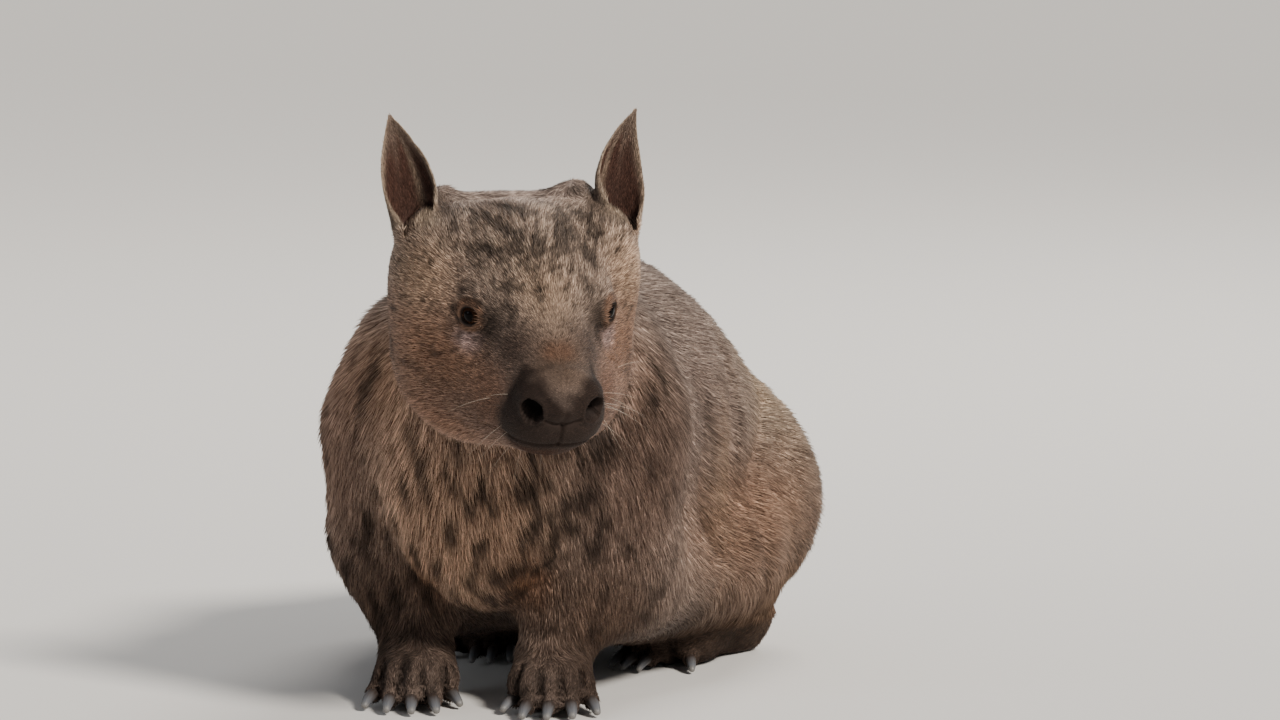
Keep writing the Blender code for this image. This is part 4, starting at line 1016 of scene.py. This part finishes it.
def hair_sizes(points, normals):
    """Length, width and lift of the tufts at each place."""
    place, local, head = points - SEAT, in_head(points), head_share(points)
    count = len(points)
    length, width, lift = np.full(count, 0.0150), np.full(count, 0.00092), np.full(count, 0.20)
    arm = step_up(place[:, 2], 0.150, 0.080) * step_up(place[:, 1], 0.12, 0.10)
    length -= 0.0035 * arm
    width -= 0.0001 * arm
    belly = step_up(normals[:, 2], -0.3, -0.8)
    length -= 0.0040 * belly
    paw = paw_share(points)
    length += (0.0046 - length) * paw
    width += (0.0009 - width) * paw
    tail = step_up(place[:, 1], 0.448, 0.456)
    length += (0.0080 - length) * tail
    width += (0.0013 - width) * tail
    back = np.interp(local[:, 1], *np.array(HEAD_HAIR).T)
    back += 0.0030 * step_up(local[:, 2], -0.03, -0.07) * step_up(local[:, 1], -0.09, -0.05)
    length += (back - length) * head
    width += (np.interp(local[:, 1], (-0.11, -0.06, 0.0, 0.06), (0.0006, 0.0008, 0.0011, 0.0016)) - width) * head
    nape = step_up(place[:, 2], 0.285, 0.320) * step_up(place[:, 1], 0.130, 0.080)
    length += (0.0068 - length) * nape * (1 - head)
    lift -= 0.07 * nape
    for side in (1, -1):
        near = step_up(np.linalg.norm(local - on_side(side, EAR_ROOT), axis=1), 0.070, 0.045)
        length += (0.0048 - length) * near
        lift -= 0.05 * near
    ear, up, across, inside = ear_place(points)
    ear_hair = 0.0042 - 0.0016 * up + 0.0034 * inside * step_up(np.abs(across), 0.45, 0.8)
    length += (ear_hair - length) * ear
    width += (0.0007 - width) * ear
    lift += (0.24 - lift) * head + 0.04 * waves(points, 0.03, 41)
    return length * (1 + 0.10 * waves(points, 0.02, 42)), width, np.clip(lift, 0.15, 0.6)


def bare_share(points):
    """1 where no hair grows: on the lids' edges, in the nostrils, between the lips and under the feet."""
    local, place = in_head(points), points - SEAT
    open_part = step_up(hollows(local), 0.0022, 0.0008)
    lips = step_up(face_lines(local), 0.0010, 0.0016) * step_up(local[:, 1], -0.06, -0.07)
    pad = step_up(np.linalg.norm((local - (0, -0.118, -0.026)) / (0.013, 0.014, 0.007), axis=1), 1.1, 0.8)
    return np.maximum.reduce([open_part, lips, pad, step_up(points[:, 2], 0.004, 0.0018)])


def chart(points, normals, low, high, halves):
    """A place on the unwrap: the hide is laid out flat from its six sides, each half of a pair apart."""
    axis = np.abs(normals).argmax(1)
    facing = (np.take_along_axis(normals, axis[:, None], 1)[:, 0] > 0).astype(int)
    spread = float((high - low).max()) * 1.02
    flat = (points - low) / spread
    u = np.where(axis == 0, flat[:, 1], flat[:, 0])
    v = np.where(axis == 2, flat[:, 1], flat[:, 2])
    half = (points[:, 0] > 0).astype(int) if halves else np.zeros(len(points), int)
    columns, rows = (4, 3) if halves else (3, 2)
    cell = axis * 2 + facing + 6 * half
    return np.stack([(cell % columns + 0.03 + 0.94 * u) / columns, (cell // columns + 0.03 + 0.94 * v) / rows], 1)


def tuft_shape(name):
    """A closed three-sided tuft of unit length along y, drawn out to a point; its height is in units of its lift."""
    shape = bmesh.new()
    rise, patch = shape.verts.layers.float.new("rise"), shape.loops.layers.uv.new("patch")
    root = [shape.verts.new((x, -0.05, z)) for x, z in ((-0.5, -0.20), (0.5, -0.20), (0.0, 0.10))]
    tip = shape.verts.new((0.0, 1.0, 1.0))
    tip[rise] = 1.0
    for i in range(3):
        shape.faces.new((root[i], root[(i + 1) % 3], tip))
    shape.faces.new(root[::-1])
    bmesh.ops.recalc_face_normals(shape, faces=shape.faces[:])
    for face in shape.faces:
        face.smooth = True
        for loop in face.loops:
            loop[patch].uv = (loop.vert.co.x, loop.vert.co.y - 0.5)
    mesh = bpy.data.meshes.new(name)
    shape.to_mesh(mesh)
    shape.free()
    return bpy.data.objects.new(name, mesh)


tuft_kinds = bpy.data.collections.new("tuft kinds")
tuft_kinds.objects.link(tuft_shape("tuft"))

tufting = bpy.data.node_groups.new("tufting", "GeometryNodeTree")
tufting.is_modifier = True
TUFTING_INPUTS = {}
for name, kind, value in (
    ("Hide", "NodeSocketGeometry", None), ("Kinds", "NodeSocketCollection", None), ("Region", "NodeSocketInt", 0),
    ("Spacing", "NodeSocketFloat", 0.002), ("Straying", "NodeSocketFloat", STRAYING),
    ("Patch", "NodeSocketFloat", PATCH), ("Seed", "NodeSocketInt", 1), ("Material", "NodeSocketMaterial", None),
):
    TUFTING_INPUTS[name] = group_socket(tufting, name, kind, value=value)
group_socket(tufting, "Coat", "NodeSocketGeometry", "OUTPUT")
given = tufting.nodes.new("NodeGroupInput")


def named(name, kind):
    return out_of(wired(tufting, "GeometryNodeInputNamedAttribute", ("Name", name), data_type=kind), "Attribute")


def randomly(low, high, offset):
    seed = wired(tufting, "FunctionNodeIntegerMath", (0, given.outputs["Seed"]), (1, offset), operation="ADD")
    return out_of(wired(tufting, "FunctionNodeRandomValue", ("Min", low), ("Max", high), ("Seed", out_of(seed)),
                        data_type="FLOAT"), "Value")


def math_of(operation, first, second):
    return out_of(wired(tufting, "ShaderNodeMath", (0, first), (1, second), operation=operation))


chosen = wired(tufting, "FunctionNodeCompare", ("A", named("region", "INT")), ("B", given.outputs["Region"]),
               data_type="INT", operation="EQUAL")
spaced = wired(tufting, "GeometryNodeDistributePointsOnFaces", ("Mesh", given.outputs["Hide"]),
               ("Selection", out_of(chosen)), ("Distance Min", given.outputs["Spacing"]),
               ("Density Max", 4.0e6), ("Density Factor", named("hairy", "FLOAT")),
               ("Seed", given.outputs["Seed"]), distribute_method="POISSON")
shaded_points = wired(tufting, "GeometryNodeStoreNamedAttribute", ("Geometry", out_of(spaced, "Points")),
                      ("Name", "shade"), ("Value", randomly(0.0, 1.0, 11)), data_type="FLOAT", domain="POINT")
level = wired(tufting, "FunctionNodeAxesToRotation", ("Primary Axis", out_of(spaced, "Normal")),
              ("Secondary Axis", named("lie", "FLOAT_VECTOR")), primary_axis="Z", secondary_axis="Y")
stray = math_of("MULTIPLY", randomly(-1.0, 1.0, 12), given.outputs["Straying"])
strayed = wired(tufting, "FunctionNodeRotateRotation", ("Rotation", out_of(level)), ("Rotate By", out_of(wired(
    tufting, "FunctionNodeAxisAngleToRotation", ("Axis", (0.0, 0.0, 1.0)), ("Angle", stray)))), rotation_space="LOCAL")
length = math_of("MULTIPLY", named("hair_length", "FLOAT"), randomly(0.72, 1.18, 13))
width = math_of("MULTIPLY", named("hair_width", "FLOAT"), randomly(0.70, 1.25, 14))
height = math_of("MULTIPLY", math_of("MULTIPLY", length, named("hair_lift", "FLOAT")), randomly(0.55, 1.40, 15))
size = wired(tufting, "ShaderNodeCombineXYZ", ("X", width), ("Y", length), ("Z", height))
kinds = wired(tufting, "GeometryNodeCollectionInfo", ("Collection", given.outputs["Kinds"]),
              ("Separate Children", True), ("Reset Children", True))
tufts = wired(tufting, "GeometryNodeInstanceOnPoints", ("Points", out_of(shaded_points)), ("Instance", out_of(kinds)),
              ("Pick Instance", True), ("Rotation", out_of(strayed)), ("Scale", out_of(size)))
real = wired(tufting, "GeometryNodeRealizeInstances", ("Geometry", out_of(tufts)))
reached = wired(tufting, "GeometryNodeInputPosition")
above = wired(tufting, "ShaderNodeVectorMath", (0, out_of(reached)), (1, (-9.0, -9.0, TUFT_FLOOR)), operation="MAXIMUM")
standing = wired(tufting, "GeometryNodeSetPosition", ("Geometry", out_of(real)), ("Position", out_of(above)))
patch = wired(tufting, "ShaderNodeVectorMath", (0, named("patch", "FLOAT_VECTOR")), ("Scale", given.outputs["Patch"]),
              operation="SCALE")
baked_at = wired(tufting, "ShaderNodeVectorMath", (0, named("root_place", "FLOAT_VECTOR")), (1, out_of(patch)),
                 operation="ADD")
mapped = wired(tufting, "GeometryNodeStoreNamedAttribute", ("Geometry", out_of(standing)), ("Name", "OFBake"),
               ("Value", out_of(baked_at)), data_type="FLOAT2", domain="CORNER")
finish = wired(tufting, "GeometryNodeSetMaterial", ("Geometry", out_of(mapped)),
               ("Material", given.outputs["Material"]))
wired(tufting, "NodeGroupOutput", ("Coat", out_of(finish)))

# Each stretch of coat: its name, slot, the least distance between tufts and whether it is a pair
COATS = (
    ("coat_breast", "back_fur", 0.00118, False),
    ("coat_shoulders", "back_fur", 0.00118, False),
    ("coat_middle", "back_fur", 0.00118, False),
    ("coat_flanks", "back_fur", 0.00118, False),
    ("coat_loins", "back_fur", 0.00118, False),
    ("coat_rump", "back_fur", 0.00118, False),
    ("coat_neck", "neck_fur", 0.00118, False),
    ("coat_face", "head_fur", 0.00082, False),
    ("coat_crown", "head_fur", 0.00090, False),
    ("coat_ears", "ear_fur", 0.00085, True),
    ("coat_forelegs", "leg_fur", 0.00115, True),
    ("coat_haunches", "haunch_fur", 0.00120, True),
    ("coat_feet", "foot_fur", 0.00096, True),
    ("coat_tail", "back_fur", 0.00110, False),
)


def coat_region(points, nearest):
    """The number of the stretch that each face's middle belongs to."""
    place, local = points - SEAT, in_head(points)
    ear = ear_share(points)
    trunk = np.digitize(place[:, 1], TRUNK_ENDS)
    head = np.where(local[:, 1] + 0.3 * local[:, 2] < 0.0, 7, 8)
    stretches = {"torso": trunk, "neck": 6, "head": head, "foreleg": 10, "hindleg": 11, "forefoot": 12,
                 "hindfoot": 12, "tail": 13}
    region = np.zeros(len(points), int)
    for kind, number in stretches.items():
        region = np.where(np.array([name.startswith(kind) for name in nearest]), number, region)
    return np.where(ear > 0.3, 9, region)


node_verts, node_faces, node_names = [], [], []
for name in FLESH_NODES:
    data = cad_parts[name].data
    start = len(node_verts)
    node_verts.extend(vert.co.copy() for vert in data.vertices)
    node_faces.extend([start + i for i in face.vertices] for face in data.polygons)
    node_names.extend([name] * len(data.polygons))
flesh_tree = BVHTree.FromPolygons(node_verts, node_faces)
face_middles = np.empty(len(skin.data.polygons) * 3, np.float32)
skin.data.polygons.foreach_get("center", face_middles)
face_middles = face_middles.reshape(-1, 3).astype(float)
face_nearest = [node_names[flesh_tree.find_nearest(middle)[2]] for middle in face_middles]
face_region = coat_region(face_middles, face_nearest)
face_normals = np.empty(len(skin.data.polygons) * 3, np.float32)
skin.data.polygons.foreach_get("normal", face_normals)
face_normals = face_normals.reshape(-1, 3).astype(float)

skin_points, skin_normals = mesh_points(skin.data), mesh_points(skin.data, "normal")
hair_length, hair_width, hair_lift = hair_sizes(skin_points, skin_normals)
hide_source = linked("hide_source", skin.data.copy())
set_layer(hide_source.data, "lie", "FLOAT_VECTOR", hair_way(skin_points, skin_normals))
set_layer(hide_source.data, "hair_length", "FLOAT", hair_length)
set_layer(hide_source.data, "hair_width", "FLOAT", hair_width)
set_layer(hide_source.data, "hair_lift", "FLOAT", hair_lift)
set_layer(hide_source.data, "hairy", "FLOAT", 1 - bare_share(skin_points))
set_layer(hide_source.data, "region", "INT", face_region, "FACE")
loop_verts = np.empty(len(skin.data.loops), np.int32)
skin.data.loops.foreach_get("vertex_index", loop_verts)
loop_faces = np.repeat(np.arange(len(skin.data.polygons)), [len(face.vertices) for face in skin.data.polygons])
root_place = np.zeros((len(loop_verts), 2))
for number, stretch in enumerate(COATS):
    of_stretch = face_region[loop_faces] == number
    corners = skin_points[loop_verts[of_stretch]]
    facing = face_normals[loop_faces[of_stretch]]
    root_place[of_stretch] = chart(corners, facing, corners.min(0), corners.max(0), stretch[-1])
set_layer(hide_source.data, "root_place", "FLOAT2", root_place, "CORNER")

coat_finish = coat_material("coat", 0.58)
for number, (name, slot, spacing, _) in enumerate(COATS):
    modifier = hide_source.modifiers.new("tufts", "NODES")
    modifier.node_group = tufting
    settings = {"Kinds": tuft_kinds, "Region": number, "Spacing": spacing, "Straying": STRAYING, "Patch": PATCH,
                "Seed": TUFT_SEED + number, "Material": coat_finish}
    for key, value in settings.items():
        modifier[TUFTING_INPUTS[key]] = value
    graph = bpy.context.evaluated_depsgraph_get()
    grown = bpy.data.meshes.new_from_object(hide_source.evaluated_get(graph), preserve_all_data_layers=True,
                                            depsgraph=graph)
    hide_source.modifiers.clear()
    for spare in ("lie", "hair_length", "hair_width", "hair_lift", "hairy", "root_place", "patch", "region", "id"):
        if spare in grown.attributes:
            grown.attributes.remove(grown.attributes[spare])
    coat = linked(name, grown)
    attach(coat, "root")
bpy.data.objects.remove(hide_source)
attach(skin, "root")
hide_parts(*FLESH_NODES, "ear_left", "ear_right")


# The eyes: small, dark brown and wet, set deep between the lids, each a ball with a clear bulging cornea.
EYE_RINGS, EYE_SPOKES = 28, 40
CORNEA_BULGE, CORNEA_SHARE = 0.0006, 0.72
EYE_STOPS = ((0.0, (0.001, 0.001, 0.001)), (0.27, (0.002, 0.001, 0.001)), (0.31, (0.022, 0.009, 0.004)),
             (0.50, (0.034, 0.014, 0.006)), (0.58, (0.008, 0.005, 0.004)), (0.75, (0.040, 0.024, 0.018)))

eye_material = bpy.data.materials.new("wet eye")
eye_material.use_nodes = True
tree, shader = eye_material.node_tree, eye_material.node_tree.nodes["Principled BSDF"]
ring = wired(tree, "ShaderNodeAttribute", attribute_name="ring")
place = wired(tree, "ShaderNodeTexCoord")
fibres = wired(tree, "ShaderNodeTexNoise", ("Vector", place.outputs["Object"]), ("Scale", 900.0), ("Detail", 3.0))
shifted = wired(tree, "ShaderNodeMath", (0, fibres.outputs["Fac"]), (1, 0.10), (2, -0.05), operation="MULTIPLY_ADD")
radius = wired(tree, "ShaderNodeMath", (0, ring.outputs["Fac"]), (1, shifted.outputs[0]), operation="ADD")
iris = wired(tree, "ShaderNodeValToRGB", ("Fac", radius.outputs[0]))
iris.color_ramp.elements[0].color, iris.color_ramp.elements[1].color = (*EYE_STOPS[0][1], 1), (*EYE_STOPS[-1][1], 1)
iris.color_ramp.elements[1].position = EYE_STOPS[-1][0]
for position, colour in EYE_STOPS[1:-1]:
    iris.color_ramp.elements.new(position).color = (*colour, 1)
tree.links.new(iris.outputs["Color"], shader.inputs["Base Color"])
shader.inputs["Roughness"].default_value = 0.05
shader.inputs["Specular IOR Level"].default_value = 0.05

for side in (1, -1):
    shape = bmesh.new()
    rings = shape.verts.layers.float.new("ring")
    gaze = eye_axis(side)
    level = unit(np.cross((0, 0, 1), gaze))
    upright = np.cross(gaze, level)
    rows = []
    for i in range(EYE_RINGS + 1):
        angle = math.pi * i / EYE_RINGS
        swell = CORNEA_BULGE * math.cos(min(1, angle / CORNEA_SHARE) * math.pi / 2) ** 1.3
        row = []
        for k in range(1 if i in (0, EYE_RINGS) else EYE_SPOKES):
            turn = 2 * math.pi * k / EYE_SPOKES
            out = gaze * math.cos(angle) + (level * math.cos(turn) + upright * math.sin(turn)) * math.sin(angle)
            vert = shape.verts.new(from_head([on_side(side, EYE_PLACE) + out * (EYE_RADIUS - 0.0003 + swell)])[0])
            vert[rings] = angle / (math.pi / 2)
            row.append(vert)
        rows.append(row)
    for row, after in zip(rows, rows[1:]):
        for k in range(EYE_SPOKES):
            corners = [row[k % len(row)], row[(k + 1) % len(row)], after[(k + 1) % len(after)], after[k % len(after)]]
            shape.faces.new(list(dict.fromkeys(corners)))
    bmesh.ops.recalc_face_normals(shape, faces=shape.faces[:])
    eye_mesh = bpy.data.meshes.new("eyeball")
    shape.to_mesh(eye_mesh)
    shape.free()
    eye_mesh.materials.append(eye_material)
    for face in eye_mesh.polygons:
        face.use_smooth = True
    half = "left" if side > 0 else "right"
    eyeball = linked(f"eyeball_{half}", eye_mesh)
    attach(eyeball, "root")
    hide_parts(f"eye_{half}")


# The claws: blunt curved horn, ridged along its length, worn pale at the tip and dark where it leaves the
# toe. The set of one foot is one piece.
PAW_CLAW, HIND_CLAW, CLAW_SEAT, CLAW_LIFT = (0.0150, 0.0044), (0.0150, 0.0037), 0.0045, 0.0006
CLAW_RINGS, CLAW_SIDES = 15, 20
CLAW_STOPS = ((0.0, (0.036, 0.025, 0.020)), (0.32, (0.072, 0.066, 0.066)), (0.70, (0.105, 0.110, 0.122)),
              (1.0, (0.170, 0.160, 0.148)))

claw_material = bpy.data.materials.new("horn")
claw_material.use_nodes = True
tree, shader = claw_material.node_tree, claw_material.node_tree.nodes["Principled BSDF"]
along = wired(tree, "ShaderNodeAttribute", attribute_name="along")
lay = wired(tree, "ShaderNodeAttribute", attribute_name="lay")
streak = wired(tree, "ShaderNodeTexNoise", ("Vector", lay.outputs["Vector"]), ("Scale", 3.0), ("Detail", 4.0),
               ("Roughness", 0.6))
shifted = wired(tree, "ShaderNodeMath", (0, streak.outputs["Fac"]), (1, 0.7), (2, -0.35), operation="MULTIPLY_ADD")
worn = wired(tree, "ShaderNodeMath", (0, along.outputs["Fac"]), (1, shifted.outputs[0]), operation="ADD")
horn = wired(tree, "ShaderNodeValToRGB", ("Fac", worn.outputs[0]))
horn.color_ramp.elements[0].color, horn.color_ramp.elements[1].color = (*CLAW_STOPS[0][1], 1), (*CLAW_STOPS[-1][1], 1)
for position, colour in CLAW_STOPS[1:-1]:
    horn.color_ramp.elements.new(position).color = (*colour, 1)
bump = wired(tree, "ShaderNodeBump", ("Height", streak.outputs["Fac"]), ("Strength", 0.5), ("Distance", 0.0004))
rough = wired(tree, "ShaderNodeMapRange", ("Value", streak.outputs["Fac"]), ("To Min", 0.34), ("To Max", 0.62))
tree.links.new(horn.outputs["Color"], shader.inputs["Base Color"])
tree.links.new(bump.outputs["Normal"], shader.inputs["Normal"])
tree.links.new(rough.outputs["Result"], shader.inputs["Roughness"])


def claw(shape, layers, feet, side, toe, size, toe_radius, number):
    """A curved, blunt claw that leaves the toe level and bends down to the floor."""
    length, half_width = size
    tip, out = toe_tip(feet, side, toe, toe_radius + 0.0012)
    across, start, run = np.array((-out[1], out[0], 0)), toe_radius - CLAW_SEAT, CLAW_SEAT + length
    low = tip[2] - CLAW_LIFT - half_width * 0.45
    rows = []
    for step in range(CLAW_RINGS + 1):
        t = step / CLAW_RINGS
        bent = max(0, (t - 0.12) / 0.88)
        middle = tip + out * (start + run * t) - np.array((0, 0, 1)) * low * bent**1.7
        slope = math.atan2(low * 1.7 * bent**0.7 / 0.88, run)
        raised = np.array((0, 0, math.cos(slope))) + out * math.sin(slope)
        blunt = math.sqrt(max(0.0, 1 - max(0, (t - 0.90) / 0.10) ** 2)) if step < CLAW_RINGS else 0
        wide = half_width * (1 - 0.5 * t**2) * max(blunt, 0.02)
        high = half_width * (1.05 - 0.55 * t**1.6) * max(blunt, 0.02)
        row = []
        for k in range(CLAW_SIDES if 0 < step < CLAW_RINGS else 1):
            angle = 2 * math.pi * k / CLAW_SIDES
            ridge = 1 + 0.025 * math.cos(angle * 5) - 0.10 * max(0, -math.sin(angle)) ** 2
            offset = 0 if step in (0, CLAW_RINGS) else 1
            aside = across * wide * math.cos(angle) + raised * high * math.sin(angle)
            vert = shape.verts.new(middle + SEAT + offset * ridge * aside)
            vert.co.z = max(vert.co.z, 0.0004)
            vert[layers[0]] = max(0.0, (t * run - CLAW_SEAT) / length)
            vert[layers[1]] = Vector((math.cos(angle) * 1.4, math.sin(angle) * 1.4, t * 0.9 + number * 3.1))
            row.append(vert)
        rows.append(row)
    for row, after in zip(rows, rows[1:]):
        for k in range(CLAW_SIDES):
            corners = [row[k % len(row)], row[(k + 1) % len(row)], after[(k + 1) % len(after)], after[k % len(after)]]
            shape.faces.new(list(dict.fromkeys(corners)))


for kind, feet, toes, size, radius in (("fore", PAWS, PAW_TOES, PAW_CLAW, PAW_TOE_RADIUS),
                                       ("hind", HIND_FEET, HIND_TOES, HIND_CLAW, HIND_TOE_RADIUS)):
    for side in (1, -1):
        half = "left" if side > 0 else "right"
        shape = bmesh.new()
        layers = (shape.verts.layers.float.new("along"), shape.verts.layers.float_vector.new("lay"))
        for number, toe in enumerate(toes):
            claw(shape, layers, feet, side, toe, size, radius, number)
        bmesh.ops.recalc_face_normals(shape, faces=shape.faces[:])
        claw_mesh = bpy.data.meshes.new("claws")
        shape.to_mesh(claw_mesh)
        shape.free()
        claw_mesh.materials.append(claw_material)
        for face in claw_mesh.polygons:
            face.use_smooth = True
        claws = linked(f"{kind}_claws_{half}", claw_mesh)
        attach(claws, "root")
        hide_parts(*[f"{kind}_claw_{half}_{number + 1}" for number in range(len(toes))])


# The whiskers: stiff tapering bristles, some pale and some dark, on the lips, chin, cheeks and brows.
WHISKER_SIDES, WHISKER_STEPS = 4, 9
WHISKERS_OUT = 0.006
# Where they stand in the head's frame: middle and reach of the patch, how many, length, thickness and way out
WHISKER_BEDS = (
    ((0.034, -0.088, -0.030), (0.006, 0.016, 0.014), 9, 0.032, 0.00009, (0.70, 0.30, -0.45)),
    ((0.014, -0.092, -0.060), (0.012, 0.012, 0.004), 5, 0.022, 0.00010, (0.25, -0.35, -0.85)),
    ((0.058, -0.040, -0.030), (0.006, 0.012, 0.012), 2, 0.028, 0.00009, (0.70, 0.40, -0.40)),
    ((0.042, -0.048, 0.036), (0.006, 0.008, 0.004), 3, 0.030, 0.00010, (0.50, -0.30, 0.70)),
)
skin_tree = BVHTree.FromPolygons([vert.co for vert in skin.data.vertices],
                                 [list(face.vertices) for face in skin.data.polygons])
whisker_material = bpy.data.materials.new("bristle")
whisker_material.use_nodes = True
tree, shader = whisker_material.node_tree, whisker_material.node_tree.nodes["Principled BSDF"]
pale = wired(tree, "ShaderNodeAttribute", attribute_name="pale")
bristle = wired(tree, "ShaderNodeMix", ("Factor", pale.outputs["Fac"]), (6, (0.020, 0.014, 0.011, 1)),
                (7, (0.62, 0.52, 0.42, 1)), data_type="RGBA")
tree.links.new(out_of(bristle, 2), shader.inputs["Base Color"])
shader.inputs["Roughness"].default_value = 0.42

rng = np.random.default_rng(71)
shape = bmesh.new()
pale_layer = shape.verts.layers.float.new("pale")
for side in (1, -1):
    for middle, reach, count, length, thickness, way in WHISKER_BEDS:
        for _ in range(count):
            spot = from_head([on_side(side, np.array(middle) + np.array(reach) * rng.uniform(-1, 1, 3))])[0]
            root, normal, _, _ = skin_tree.find_nearest(Vector(spot))
            normal = np.array(normal)
            heading_out = HEAD_MATRIX @ unit(on_side(side, way) + rng.normal(0, 0.36, 3))
            out = unit(heading_out + normal * 0.7)
            own_length, own_pale = length * rng.uniform(0.45, 1.30), float(rng.random() < 0.30)
            own_length = min(own_length, (cad_box[1][0] + WHISKERS_OUT - root[0]) / max(out[0], 0.02))
            across = unit(np.cross(out, (0, 0, 1)))
            rows = []
            for step in range(WHISKER_STEPS + 1):
                t = step / WHISKER_STEPS
                sag = np.array((0, 0, -1)) * own_length * 0.22 * t * t
                centre = np.array(root) - out * 0.0006 + out * own_length * t + sag
                radius = thickness * (1 - t) ** 0.7
                turns = range(WHISKER_SIDES if step < WHISKER_STEPS else 1)
                row = []
                for k in turns:
                    angle = 2 * math.pi * k / WHISKER_SIDES
                    aside = across * math.cos(angle) + np.cross(out, across) * math.sin(angle)
                    vert = shape.verts.new(centre + radius * aside)
                    vert[pale_layer] = own_pale
                    row.append(vert)
                rows.append(row)
            shape.faces.new(rows[0][::-1])
            for row, after in zip(rows, rows[1:]):
                for k in range(WHISKER_SIDES):
                    corners = [row[k], row[(k + 1) % WHISKER_SIDES], after[(k + 1) % len(after)], after[k % len(after)]]
                    shape.faces.new(list(dict.fromkeys(corners)))
bmesh.ops.recalc_face_normals(shape, faces=shape.faces[:])
whisker_mesh = bpy.data.meshes.new("whiskers")
shape.to_mesh(whisker_mesh)
shape.free()
whisker_mesh.materials.append(whisker_material)
for face in whisker_mesh.polygons:
    face.use_smooth = True
whiskers = linked("whiskers", whisker_mesh)
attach(whiskers, "root")
